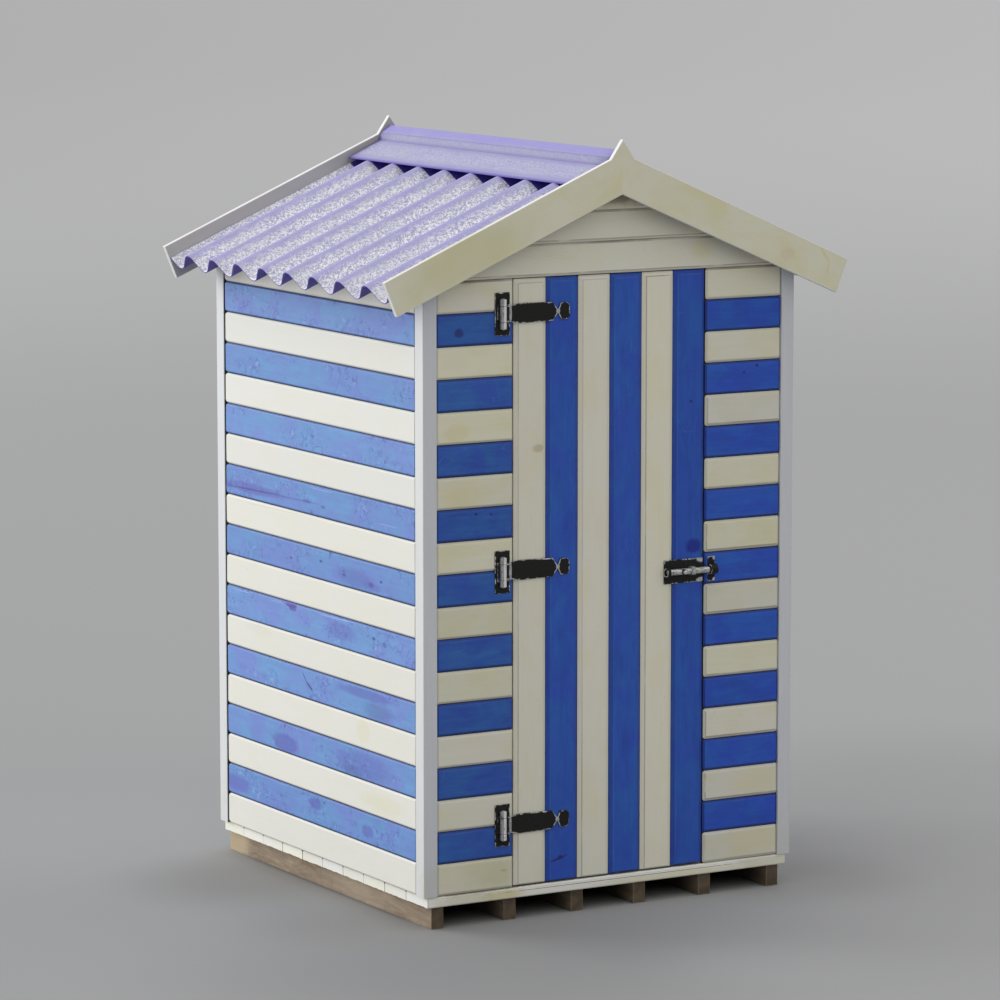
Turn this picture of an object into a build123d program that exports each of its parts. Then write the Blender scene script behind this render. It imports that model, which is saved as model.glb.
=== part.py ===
from build123d import *
import math
import os

os.makedirs("parts", exist_ok=True)

# Beach hut: a small timber hut on bearers, with horizontally boarded walls, a
# ledged and braced door on three tee hinges, and a corrugated roof between
# four bargeboards.  Millimetres, +Z up, the door faces -Y, and the origin is
# on the ground below the middle of the hut.

# ---- driving dimensions ----
hut_width = 1350.0  # outside to outside of the corner posts, along X
hut_depth = 1396.0  # outside to outside of the corner posts, along Y
hx = hut_width / 2
hy = hut_depth / 2

bearer_width = 45.0
bearer_height = 70.0
bearer_front = -681.0
bearer_back = 697.0
bearer_centres = (-618.0, -359.0, -116.0, 116.0, 359.0, 618.0)

floor_thickness = 34.5
floor_half_width = 661.0
floor_front = -694.5
floor_back = 692.0
floor_top = bearer_height + floor_thickness

post_x = 47.0  # face of a corner post seen from the front
post_y = 54.0  # face of a corner post seen from the side
post_bottom = 104.5
wall_bottom = 105.5
wall_top = 2015.5  # front and back walls
post_top = 2008.5  # posts and side walls, just below the sheets

board_thickness = 14.0
side_recess = 2.0  # side boards stand this far behind the posts' faces
front_recess = 2.5
side_face = hx - side_recess
front_face = hy - front_recess
gable_thickness = 18.0

rail_height = 44.0
mid_rail_z = 1057.0
side_frame_depth = side_face - board_thickness - (hx - post_x)
front_frame_depth = front_face - board_thickness - (hy - post_y)

door_centre = -5.5
doorway_half = 352.0
doorway_left = door_centre - doorway_half
doorway_right = door_centre + doorway_half
door_gap = 5.0
leaf_bottom = 109.5
leaf_top = wall_top - door_gap
ledge_height = 95.0
ledge_thickness = 20.0
ledge_left = -330.0
ledge_right = 300.0
hinge_heights = (307.0, 1104.0, 1904.0)
hinge_names = ("bottom", "middle", "top")

pin_x = -398.0
pin_y = -706.5
pin_radius = 4.0
pin_bore = 4.15
knuckle_radius = 10.5
knuckle_half = 25.0  # half length of the strap's knuckle
barrel_half = 46.0  # half length of the whole barrel
hinge_plate_left = -422.5
hinge_plate_right = -369.5
hinge_plate_half = 66.5
hinge_plate_thickness = 3.0
strap_thickness = 4.5

bolt_z = 1057.0
bolt_y = -709.5
bolt_radius = 10.0
bolt_bore = 10.6
keeper_bore = 11.5
bolt_left = 199.0
bolt_right = 353.5
bolt_plate_left = 192.3
bolt_plate_right = 336.0
bolt_plate_half = 38.0
loop_radius = 13.5
keeper_left = 355.5
keeper_plate_right = 382.0
keeper_loop_right = 380.0
keeper_half = 39.5
keeper_radius = 16.0
knob_x = 254.0
knob_radius = 7.0

roof_slope = math.atan(0.4313)
barge_thickness = 17.0
barge_face = 757.0
barge_top_apex = 2386.5
barge_under_apex = 2260.6
barge_under_slope = 0.4293
finial_top = 2429.0
finial_half = 42.0

sheet_pitch = 172.3
sheet_depth = 55.0
sheet_thickness = 4.0
sheet_crest_below_barge = 24.0
sheet_flank = math.radians(43.0)
first_crest = -604.2
sheet_top = 39.0  # distance down the slope to the sheet's upper end
sheet_end = 910.0  # distance down the slope to the sheet's lower end
sheet_half_length = barge_face - barge_thickness - 0.5

ridge_beam_width = 35.0
ridge_beam_height = 90.0
batten_width = 45.0  # measured down the slope
batten_thickness = 27.0
batten_places = (110.0, 380.0, 640.0)  # distances down the slope

cos_r = math.cos(roof_slope)
sin_r = math.sin(roof_slope)
trough_apex = barge_top_apex - (sheet_crest_below_barge + sheet_depth) / cos_r


def trough_z(x):
    """Height of the sheets' lowest line above a point x across the hut."""
    return trough_apex - math.tan(roof_slope) * abs(x)


# ---- base ----
# Six bearers run from front to back and stand on the ground.
with BuildPart() as bearers:
    with BuildSketch(Plane.XY):
        with Locations(*[(x, (bearer_front + bearer_back) / 2) for x in bearer_centres]):
            Rectangle(bearer_width, bearer_back - bearer_front)
    extrude(amount=bearer_height)
bearers.part.label = "bearers"
export_step(bearers.part, "parts/bearers.step")

# The floor is laid across the bearers and shows as a painted edge all round.
with BuildPart() as floor_deck:
    with BuildSketch(Plane.XY.offset(bearer_height)):
        with Locations((0, (floor_front + floor_back) / 2)):
            Rectangle(2 * floor_half_width, floor_back - floor_front)
    extrude(amount=floor_thickness)
    chamfer(floor_deck.edges().filter_by(Axis.Z), length=3)
floor_deck.part.label = "floor_deck"
export_step(floor_deck.part, "parts/floor_deck.step")

# ---- corner posts ----
for post_name, sx, sy in (
    ("post_front_left", -1, -1),
    ("post_front_right", 1, -1),
    ("post_back_left", -1, 1),
    ("post_back_right", 1, 1),
):
    with BuildPart() as post:
        with BuildSketch(Plane.XY.offset(post_bottom)):
            with Locations((sx * (hx - post_x / 2), sy * (hy - post_y / 2))):
                Rectangle(post_x, post_y)
        extrude(amount=post_top - post_bottom)
        fillet(
            post.edges().filter_by(Axis.Z).filter_by(lambda e: abs(e.center().X) > hx - 1),
            radius=4,
        )
    post.part.label = post_name
    export_step(post.part, f"parts/{post_name}.step")

# ---- boarded walls between the posts ----
for wall_name, sx in (("wall_left", -1), ("wall_right", 1)):
    with BuildPart() as side_wall:
        with BuildSketch(Plane.XY.offset(wall_bottom)):
            with Locations((sx * (side_face - board_thickness / 2), 0)):
                Rectangle(board_thickness, 2 * (hy - post_y))
        extrude(amount=post_top - wall_bottom)
    side_wall.part.label = wall_name
    export_step(side_wall.part, f"parts/{wall_name}.step")

with BuildPart() as wall_back:
    with BuildSketch(Plane.XY.offset(wall_bottom)):
        with Locations((0, front_face - board_thickness / 2)):
            Rectangle(2 * (hx - post_x), board_thickness)
    extrude(amount=wall_top - wall_bottom)
wall_back.part.label = "wall_back"
export_step(wall_back.part, "parts/wall_back.step")

# The front wall is in two sections, one each side of the doorway.
for wall_name, x0, x1 in (
    ("front_wall_left", -(hx - post_x), doorway_left),
    ("front_wall_right", doorway_right, hx - post_x),
):
    with BuildPart() as front_section:
        with BuildSketch(Plane.XY.offset(wall_bottom)):
            with Locations(((x0 + x1) / 2, -(front_face - board_thickness / 2))):
                Rectangle(x1 - x0, board_thickness)
        extrude(amount=wall_top - wall_bottom)
    front_section.part.label = wall_name
    export_step(front_section.part, f"parts/{wall_name}.step")

# Gables close the ends under the roof, notched where the roof battens pass.
# Their feet step down onto the corner posts.
ridge_beam_top = trough_z(ridge_beam_width / 2) - 0.3
gable_foot = side_face
batten_depth = sheet_crest_below_barge + sheet_depth + 0.3 + batten_thickness / 2


def slope_point(along, below, side):
    """Point (x, z) a distance down the slope, and below the barges' top line."""
    x = along * cos_r - below * sin_r
    z = barge_top_apex - along * sin_r - below * cos_r
    return (side * x, z)


for gable_name, y0 in (
    ("front_gable", -(front_face + gable_thickness - board_thickness)),
    ("back_gable", front_face - board_thickness),
):
    with BuildPart() as gable:
        with BuildSketch(Plane.XZ.offset(-y0 - gable_thickness)):
            with BuildLine():
                Polyline(
                    (-gable_foot, post_top),
                    (-(hx - post_x), post_top),
                    (-(hx - post_x), wall_top),
                    (hx - post_x, wall_top),
                    (hx - post_x, post_top),
                    (gable_foot, post_top),
                    (gable_foot, trough_z(gable_foot) - 1),
                    (0, trough_z(0) - 1),
                    (-gable_foot, trough_z(gable_foot) - 1),
                    close=True,
                )
            make_face()
            for side in (-1, 1):
                for along in batten_places:
                    with Locations(slope_point(along, batten_depth - 10, side)):
                        Rectangle(
                            batten_width,
                            batten_thickness + 20,
                            rotation=-side * math.degrees(roof_slope),
                            mode=Mode.SUBTRACT,
                        )
        extrude(amount=gable_thickness)
    gable.part.label = gable_name
    export_step(gable.part, f"parts/{gable_name}.step")

# ---- framing inside the walls ----
# Bottom and middle rails of the side walls run from post to post.
side_rail_x = side_face - board_thickness - side_frame_depth / 2
with BuildPart() as side_rails:
    for z0 in (floor_top, mid_rail_z - rail_height / 2):
        with BuildSketch(Plane.XY.offset(z0)):
            with Locations((-side_rail_x, 0), (side_rail_x, 0)):
                Rectangle(side_frame_depth, 2 * (hy - post_y))
        extrude(amount=rail_height)
side_rails.part.label = "side_rails"
export_step(side_rails.part, "parts/side_rails.step")

front_rail_y = front_face - board_thickness - front_frame_depth / 2
with BuildPart() as back_rails:
    for z0 in (floor_top, mid_rail_z - rail_height / 2, wall_top - rail_height):
        with BuildSketch(Plane.XY.offset(z0)):
            with Locations((0, front_rail_y)):
                Rectangle(2 * (hx - post_x), front_frame_depth)
        extrude(amount=rail_height)
back_rails.part.label = "back_rails"
export_step(back_rails.part, "parts/back_rails.step")

# Short rails stand each side of the doorway, between corner and door posts.
with BuildPart() as front_rails:
    for z0 in (floor_top, mid_rail_z - rail_height / 2, wall_top - rail_height):
        with BuildSketch(Plane.XY.offset(z0)):
            for x0, x1 in (
                (-(hx - post_x), doorway_left - rail_height),
                (doorway_right + rail_height, hx - post_x),
            ):
                with Locations(((x0 + x1) / 2, -front_rail_y)):
                    Rectangle(x1 - x0, front_frame_depth)
        extrude(amount=rail_height)
front_rails.part.label = "front_rails"
export_step(front_rails.part, "parts/front_rails.step")

# Wall plates carry the lower part of the roof.
plate_top = trough_z(side_face - board_thickness) - 0.3
with BuildPart() as wall_plates:
    with BuildSketch(Plane.XY.offset(plate_top - rail_height)):
        with Locations((-side_rail_x, 0), (side_rail_x, 0)):
            Rectangle(side_frame_depth, 2 * (hy - post_y))
    extrude(amount=rail_height)
wall_plates.part.label = "wall_plates"
export_step(wall_plates.part, "parts/wall_plates.step")

# One stud in the middle of each blind wall, cut between the rails.
with BuildPart() as wall_studs:
    for z0, z1 in (
        (floor_top + rail_height, mid_rail_z - rail_height / 2),
        (mid_rail_z + rail_height / 2, plate_top - rail_height),
    ):
        with BuildSketch(Plane.XY.offset(z0)):
            with Locations((-side_rail_x, 0), (side_rail_x, 0)):
                Rectangle(side_frame_depth, rail_height)
        extrude(amount=z1 - z0)
    for z0, z1 in (
        (floor_top + rail_height, mid_rail_z - rail_height / 2),
        (mid_rail_z + rail_height / 2, wall_top - rail_height),
    ):
        with BuildSketch(Plane.XY.offset(z0)):
            with Locations((0, front_rail_y)):
                Rectangle(rail_height, front_frame_depth)
        extrude(amount=z1 - z0)
wall_studs.part.label = "wall_studs"
export_step(wall_studs.part, "parts/wall_studs.step")

# Door posts, head and stop.
for dp_name, xc in (
    ("door_post_left", doorway_left - rail_height / 2),
    ("door_post_right", doorway_right + rail_height / 2),
):
    with BuildPart() as door_post:
        with BuildSketch(Plane.XY.offset(floor_top)):
            with Locations((xc, -front_rail_y)):
                Rectangle(rail_height, front_frame_depth)
        extrude(amount=wall_top + rail_height - floor_top)
    door_post.part.label = dp_name
    export_step(door_post.part, f"parts/{dp_name}.step")

with BuildPart() as door_head:
    with BuildSketch(Plane.XY.offset(wall_top)):
        with Locations((door_centre, -front_rail_y)):
            Rectangle(2 * doorway_half, front_frame_depth)
    extrude(amount=rail_height)
door_head.part.label = "door_head"
export_step(door_head.part, "parts/door_head.step")

stop_front = -(front_face - board_thickness) + door_gap
stop_back = -(hy - post_y)
with BuildPart() as door_stop:
    with BuildSketch(Plane.XY.offset(floor_top)):
        with Locations((doorway_right - 13, (stop_front + stop_back) / 2)):
            Rectangle(26, stop_back - stop_front)
    extrude(amount=wall_top - floor_top)
door_stop.part.label = "door_stop"
export_step(door_stop.part, "parts/door_stop.step")

# ---- roof ----
# The ridge beam runs from gable to gable.
with BuildPart() as ridge_beam:
    with BuildSketch(Plane.XY.offset(ridge_beam_top - ridge_beam_height)):
        Rectangle(ridge_beam_width, 2 * (front_face - board_thickness))
    extrude(amount=ridge_beam_height)
ridge_beam.part.label = "ridge_beam"
export_step(ridge_beam.part, "parts/ridge_beam.step")

# Battens lie flat under the sheets and run on to carry the bargeboards.
batten_half_length = barge_face - barge_thickness
with BuildPart() as roof_battens:
    with BuildSketch(Plane.XZ.offset(-batten_half_length)):
        for side in (-1, 1):
            for along in batten_places:
                with Locations(slope_point(along, batten_depth, side)):
                    Rectangle(
                        batten_width,
                        batten_thickness,
                        rotation=-side * math.degrees(roof_slope),
                    )
    extrude(amount=2 * batten_half_length)
roof_battens.part.label = "roof_battens"
export_step(roof_battens.part, "parts/roof_battens.step")

# Corrugation: crest and trough arcs joined by straight flanks.  The arc radius
# and flank length follow from the pitch, the depth and the flank angle.
wave_rise = sheet_depth - sheet_thickness
half_pitch = sheet_pitch / 2
a11 = 2 * (1 - math.cos(sheet_flank))
a12 = math.sin(sheet_flank)
a21 = 2 * math.sin(sheet_flank)
a22 = math.cos(sheet_flank)
wave_det = a11 * a22 - a12 * a21
wave_radius = (wave_rise * a22 - a12 * half_pitch) / wave_det
arc_x = wave_radius * math.sin(sheet_flank)


def wave_arcs(offset):
    """Arcs (start, middle, end) of the wave, moved out along its normal."""
    arcs = []
    for k in range(-1, 18):
        centre_y = first_crest + (k - 1) * half_pitch
        crest = (k % 2) == 1
        r = wave_radius + offset if crest else wave_radius - offset
        s = 1 if crest else -1
        centre_h = s * (wave_rise / 2 - wave_radius)
        dx = r * math.sin(sheet_flank)
        dh = r * math.cos(sheet_flank)
        arcs.append(
            (
                (centre_y - dx, centre_h + s * dh),
                (centre_y, centre_h + s * r),
                (centre_y + dx, centre_h + s * dh),
            )
        )
    return arcs


sheet_mid_below = sheet_crest_below_barge + sheet_depth / 2
sheet_origin = Vector(
    sheet_top * cos_r - sheet_mid_below * sin_r,
    0,
    barge_top_apex - sheet_top * sin_r - sheet_mid_below * cos_r,
)
sheet_plane = Plane(origin=sheet_origin, x_dir=(0, 1, 0), z_dir=(cos_r, 0, -sin_r))
with BuildPart() as roof_sheet_right:
    with BuildSketch(sheet_plane):
        with BuildLine():
            upper = wave_arcs(sheet_thickness / 2)
            lower = wave_arcs(-sheet_thickness / 2)
            for arcs in (upper, lower):
                for i, (p0, p1, p2) in enumerate(arcs):
                    ThreePointArc(p0, p1, p2)
                    if i + 1 < len(arcs):
                        Line(p2, arcs[i + 1][0])
            Line(upper[0][0], lower[0][0])
            Line(upper[-1][2], lower[-1][2])
        make_face()
        with Locations((0, 0)):
            Rectangle(2 * sheet_half_length, 200, mode=Mode.INTERSECT)
    extrude(amount=sheet_end - sheet_top)
roof_sheet_right.part.label = "roof_sheet_right"
export_step(roof_sheet_right.part, "parts/roof_sheet_right.step")

with BuildPart() as roof_sheet_left:
    mirror(roof_sheet_right.part, about=Plane.YZ, mode=Mode.ADD)
roof_sheet_left.part.label = "roof_sheet_left"
export_step(roof_sheet_left.part, "parts/roof_sheet_left.step")

# The ridge cap has a wing on each slope, lying on the crests, and a raised roll.
wing_half = 160.0
crease_half = 44.0


def wing_z(x, below):
    return barge_top_apex - below / cos_r - math.tan(roof_slope) * x


cap_half_length = barge_face - barge_thickness - 5.0
with BuildPart() as ridge_cap:
    with BuildSketch(Plane.XZ.offset(-cap_half_length)):
        with BuildLine():
            Line((wing_half, wing_z(wing_half, 20)), (crease_half, wing_z(crease_half, 20)))
            Line((crease_half, wing_z(crease_half, 20)), (32, 2373))
            ThreePointArc((32, 2373), (0, 2399), (-32, 2373))
            Line((-32, 2373), (-crease_half, wing_z(crease_half, 20)))
            Line((-crease_half, wing_z(crease_half, 20)), (-wing_half, wing_z(wing_half, 20)))
            Line((-wing_half, wing_z(wing_half, 20)), (-wing_half + 1, wing_z(wing_half - 1, 23.9)))
            Line((-wing_half + 1, wing_z(wing_half - 1, 23.9)), (-crease_half + 3, wing_z(crease_half - 3, 23.9)))
            Line((-crease_half + 3, wing_z(crease_half - 3, 23.9)), (-28, 2372))
            ThreePointArc((-28, 2372), (0, 2395), (28, 2372))
            Line((28, 2372), (crease_half - 3, wing_z(crease_half - 3, 23.9)))
            Line((crease_half - 3, wing_z(crease_half - 3, 23.9)), (wing_half - 1, wing_z(wing_half - 1, 23.9)))
            Line((wing_half - 1, wing_z(wing_half - 1, 23.9)), (wing_half, wing_z(wing_half, 20)))
        make_face()
    extrude(amount=2 * cap_half_length)
ridge_cap.part.label = "ridge_cap"
export_step(ridge_cap.part, "parts/ridge_cap.step")

# Bargeboards: two at each end, mitred on the centre line, with a small pointed
# finial cut from their upper ends and square-cut lower ends.
barge_points = (
    (0, barge_under_apex),
    (796.0, barge_under_apex - barge_under_slope * 796.0),
    (840.0, barge_top_apex - math.tan(roof_slope) * 840.0),
    (finial_half, barge_top_apex - math.tan(roof_slope) * finial_half),
    (0, finial_top),
)
for barge_name, sx, y0 in (
    ("bargeboard_front_left", -1, -barge_face),
    ("bargeboard_front_right", 1, -barge_face),
    ("bargeboard_back_left", -1, barge_face - barge_thickness),
    ("bargeboard_back_right", 1, barge_face - barge_thickness),
):
    with BuildPart() as bargeboard:
        with BuildSketch(Plane.XZ.offset(-y0 - barge_thickness)):
            with BuildLine():
                Polyline(*[(sx * x, z) for x, z in barge_points], close=True)
            make_face()
        extrude(amount=barge_thickness)
    bargeboard.part.label = barge_name
    export_step(bargeboard.part, f"parts/{barge_name}.step")

# ---- door ----
with BuildPart() as door_leaf:
    with BuildSketch(Plane.XY.offset(leaf_bottom)):
        with Locations((door_centre, -(front_face - board_thickness / 2))):
            Rectangle(2 * (doorway_half - door_gap), board_thickness)
    extrude(amount=leaf_top - leaf_bottom)
door_leaf.part.label = "door_leaf"
export_step(door_leaf.part, "parts/door_leaf.step")

ledge_y = -(front_face - board_thickness - ledge_thickness / 2)
with BuildPart() as door_ledges:
    for z in hinge_heights:
        z_c = min(z, leaf_top - 60 - ledge_height / 2)
        with BuildSketch(Plane.XY.offset(z_c - ledge_height / 2)):
            with Locations(((ledge_left + ledge_right) / 2, ledge_y)):
                Rectangle(ledge_right - ledge_left, ledge_thickness)
        extrude(amount=ledge_height)
    chamfer(door_ledges.faces().sort_by(Axis.Y)[-3:].edges(), length=3)
door_ledges.part.label = "door_ledges"
export_step(door_ledges.part, "parts/door_ledges.step")

# Braces rise from the hinge side to the shutting side, between the ledges.
ledge_centres = [min(z, leaf_top - 60 - ledge_height / 2) for z in hinge_heights]
with BuildPart() as door_braces:
    for z_low, z_high in (
        (ledge_centres[0] + ledge_height / 2, ledge_centres[1] - ledge_height / 2),
        (ledge_centres[1] + ledge_height / 2, ledge_centres[2] - ledge_height / 2),
    ):
        with BuildSketch(Plane.XZ.offset(-(ledge_y - ledge_thickness / 2) - ledge_thickness)):
            with BuildLine():
                Polyline(
                    (ledge_left + 12, z_low),
                    (ledge_left + 117, z_low),
                    (ledge_right - 12, z_high),
                    (ledge_right - 117, z_high),
                    close=True,
                )
            make_face()
        extrude(amount=ledge_thickness)
door_braces.part.label = "door_braces"
export_step(door_braces.part, "parts/door_braces.step")

# ---- tee hinges ----
# The cross plate has a window for the strap's knuckle, and two knuckles of its
# own.  The strap narrows to a waist and ends in a six-sided tip.
wall_plane_y = -front_face
window_left = pin_x - knuckle_radius - 2.5
window_half = knuckle_half + 1.5
for hinge_name, hz in zip(hinge_names, hinge_heights):
    with BuildPart() as hinge_plate:
        with BuildSketch(Plane.XZ.offset(-wall_plane_y)):
            with Locations(((hinge_plate_left + hinge_plate_right) / 2, hz)):
                Rectangle(hinge_plate_right - hinge_plate_left, 2 * hinge_plate_half)
            with Locations(((window_left + hinge_plate_right) / 2 + 5, hz)):
                Rectangle(hinge_plate_right - window_left + 10, 2 * window_half, mode=Mode.SUBTRACT)
        extrude(amount=hinge_plate_thickness)
        for z0, z1 in ((hz - barrel_half, hz - window_half + 1), (hz + window_half - 1, hz + barrel_half)):
            with BuildSketch(Plane.XY.offset(z0)):
                with Locations((pin_x, pin_y)):
                    Circle(knuckle_radius)
                with Locations((pin_x, (pin_y + wall_plane_y - hinge_plate_thickness / 2) / 2)):
                    Rectangle(13, wall_plane_y - hinge_plate_thickness / 2 - pin_y)
                with Locations((pin_x, pin_y)):
                    Circle(pin_bore, mode=Mode.SUBTRACT)
            extrude(amount=z1 - z0)
    hinge_plate.part.label = f"hinge_plate_{hinge_name}"
    export_step(hinge_plate.part, f"parts/hinge_plate_{hinge_name}.step")

    lift = 2.0 if hinge_name == "middle" else 0.0  # the middle strap lies a little high
    strap_outline = (
        (pin_x + 2, knuckle_half),
        (-368.4, 25.0),
        (-364.4, 26.5),
        (-329.0, 31.5),
        (-216.3, 29.0),
        (-198.0, 4.5),
        (-188.0, 25.5),
        (-165.0, 26.0),
        (-155.5, 17.0),
    )
    with BuildPart() as hinge_strap:
        with BuildSketch(Plane.XZ.offset(-wall_plane_y)):
            with BuildLine():
                Polyline(
                    *[(x, hz + h + (lift if x > -366 else 0)) for x, h in strap_outline],
                    *[(x, hz - h + (lift if x > -366 else 0)) for x, h in reversed(strap_outline)],
                    close=True,
                )
            make_face()
        extrude(amount=strap_thickness)
        # relief, so that the strap turns clear of the fixed wall
        with BuildSketch(Plane.XZ.offset(-wall_plane_y)):
            with Locations((doorway_left - 20, hz)):
                Rectangle(50, 80)
        extrude(amount=1.5, mode=Mode.SUBTRACT)
        with BuildSketch(Plane.XY.offset(hz - knuckle_half)):
            with Locations((pin_x, pin_y)):
                Circle(knuckle_radius)
        extrude(amount=2 * knuckle_half)
        with BuildSketch(Plane.XY.offset(hz - knuckle_half)):
            with Locations((pin_x, pin_y)):
                Circle(pin_bore)
        extrude(amount=2 * knuckle_half, mode=Mode.SUBTRACT)
    hinge_strap.part.label = f"hinge_strap_{hinge_name}"
    export_step(hinge_strap.part, f"parts/hinge_strap_{hinge_name}.step")

with BuildPart() as hinge_pins:
    for hz in hinge_heights:
        with BuildSketch(Plane.XY.offset(hz - barrel_half - 2)):
            with Locations((pin_x, pin_y)):
                Circle(pin_radius)
        extrude(amount=2 * barrel_half + 2)
        with BuildSketch(Plane.XY.offset(hz + barrel_half)):
            with Locations((pin_x, pin_y)):
                Circle(5.5)
        extrude(amount=2)
hinge_pins.part.label = "hinge_pins"
export_step(hinge_pins.part, "parts/hinge_pins.step")

# ---- barrel bolt ----
# Back plate with two loops that guide the rod.
with BuildPart() as bolt_plate:
    with BuildSketch(Plane.XZ.offset(-wall_plane_y)):
        with Locations(((bolt_plate_left + bolt_plate_right) / 2, bolt_z)):
            Rectangle(bolt_plate_right - bolt_plate_left, 2 * bolt_plate_half)
    extrude(amount=3)
    for x0, x1 in ((193.0, 206.0), (284.0, 300.0)):
        with BuildSketch(Plane.YZ.offset(x0)):
            with Locations((bolt_y, bolt_z)):
                Circle(loop_radius)
            with Locations(((bolt_y + wall_plane_y - 2) / 2, bolt_z)):
                Rectangle(wall_plane_y - 2 - bolt_y, 2 * loop_radius)
            with Locations((bolt_y, bolt_z)):
                Circle(bolt_bore, mode=Mode.SUBTRACT)
        extrude(amount=x1 - x0)
bolt_plate.part.label = "bolt_plate"
export_step(bolt_plate.part, "parts/bolt_plate.step")

# The rod, with a round knob on a short stem to push it by.
with BuildPart() as bolt_rod:
    with BuildSketch(Plane.YZ.offset(bolt_left)):
        with Locations((bolt_y, bolt_z)):
            Circle(bolt_radius)
    extrude(amount=bolt_right - bolt_left)
    chamfer(bolt_rod.edges().filter_by(GeomType.CIRCLE), length=2)
    with BuildSketch(Plane.XZ.offset(-bolt_y)):
        with Locations((knob_x, bolt_z)):
            Circle(4.5)
    extrude(amount=14)
    with Locations((knob_x, bolt_y - 17.5, bolt_z)):
        Sphere(knob_radius)
bolt_rod.part.label = "bolt_rod"
export_step(bolt_rod.part, "parts/bolt_rod.step")

# The keeper on the fixed wall: a plate with a domed loop that the rod enters.
with BuildPart() as bolt_keeper:
    with BuildSketch(Plane.XZ.offset(-wall_plane_y)):
        with Locations(((keeper_left + keeper_plate_right) / 2, bolt_z)):
            Rectangle(keeper_plate_right - keeper_left, 2 * keeper_half)
    extrude(amount=3)
    with BuildSketch(Plane.YZ.offset(keeper_left)):
        with Locations((bolt_y, bolt_z)):
            Circle(keeper_radius)
        with Locations(((bolt_y + wall_plane_y) / 2, bolt_z)):
            Rectangle(wall_plane_y - bolt_y, 2 * keeper_radius)
        with Locations((wall_plane_y + 10, bolt_z)):
            Rectangle(20, 40, mode=Mode.SUBTRACT)
        with Locations((bolt_y, bolt_z)):
            Circle(keeper_bore, mode=Mode.SUBTRACT)
    extrude(amount=keeper_loop_right - keeper_left)
bolt_keeper.part.label = "bolt_keeper"
export_step(bolt_keeper.part, "parts/bolt_keeper.step")
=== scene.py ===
import math
import random

import bmesh
import bpy
import numpy as np
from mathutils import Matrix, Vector


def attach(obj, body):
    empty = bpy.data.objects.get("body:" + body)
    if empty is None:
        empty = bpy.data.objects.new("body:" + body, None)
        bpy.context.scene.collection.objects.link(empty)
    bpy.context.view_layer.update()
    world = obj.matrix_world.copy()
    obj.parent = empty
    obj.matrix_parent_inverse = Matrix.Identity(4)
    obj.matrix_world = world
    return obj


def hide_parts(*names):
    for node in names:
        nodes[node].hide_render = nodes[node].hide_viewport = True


# The hut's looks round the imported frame.  Shapes below are in millimetres in
# the row frame and are written to the meshes in metres.

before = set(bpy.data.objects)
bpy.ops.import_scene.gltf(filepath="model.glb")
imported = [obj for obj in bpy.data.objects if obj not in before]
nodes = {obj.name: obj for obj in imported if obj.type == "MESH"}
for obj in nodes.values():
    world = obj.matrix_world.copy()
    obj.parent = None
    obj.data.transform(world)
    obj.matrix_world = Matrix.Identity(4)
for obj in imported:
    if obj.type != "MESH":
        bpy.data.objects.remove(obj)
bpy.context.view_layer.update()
scene = bpy.context.scene

COS = math.cos(math.atan(0.4313))
SIN = math.sin(math.atan(0.4313))
BARGE_APEX = 2386.5


def srgb(r, g, b):
    out = []
    for c in (r, g, b):
        c = c / 255
        out.append(c / 12.92 if c <= 0.04045 else ((c + 0.055) / 1.055) ** 2.4)
    return (*out, 1.0)


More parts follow.
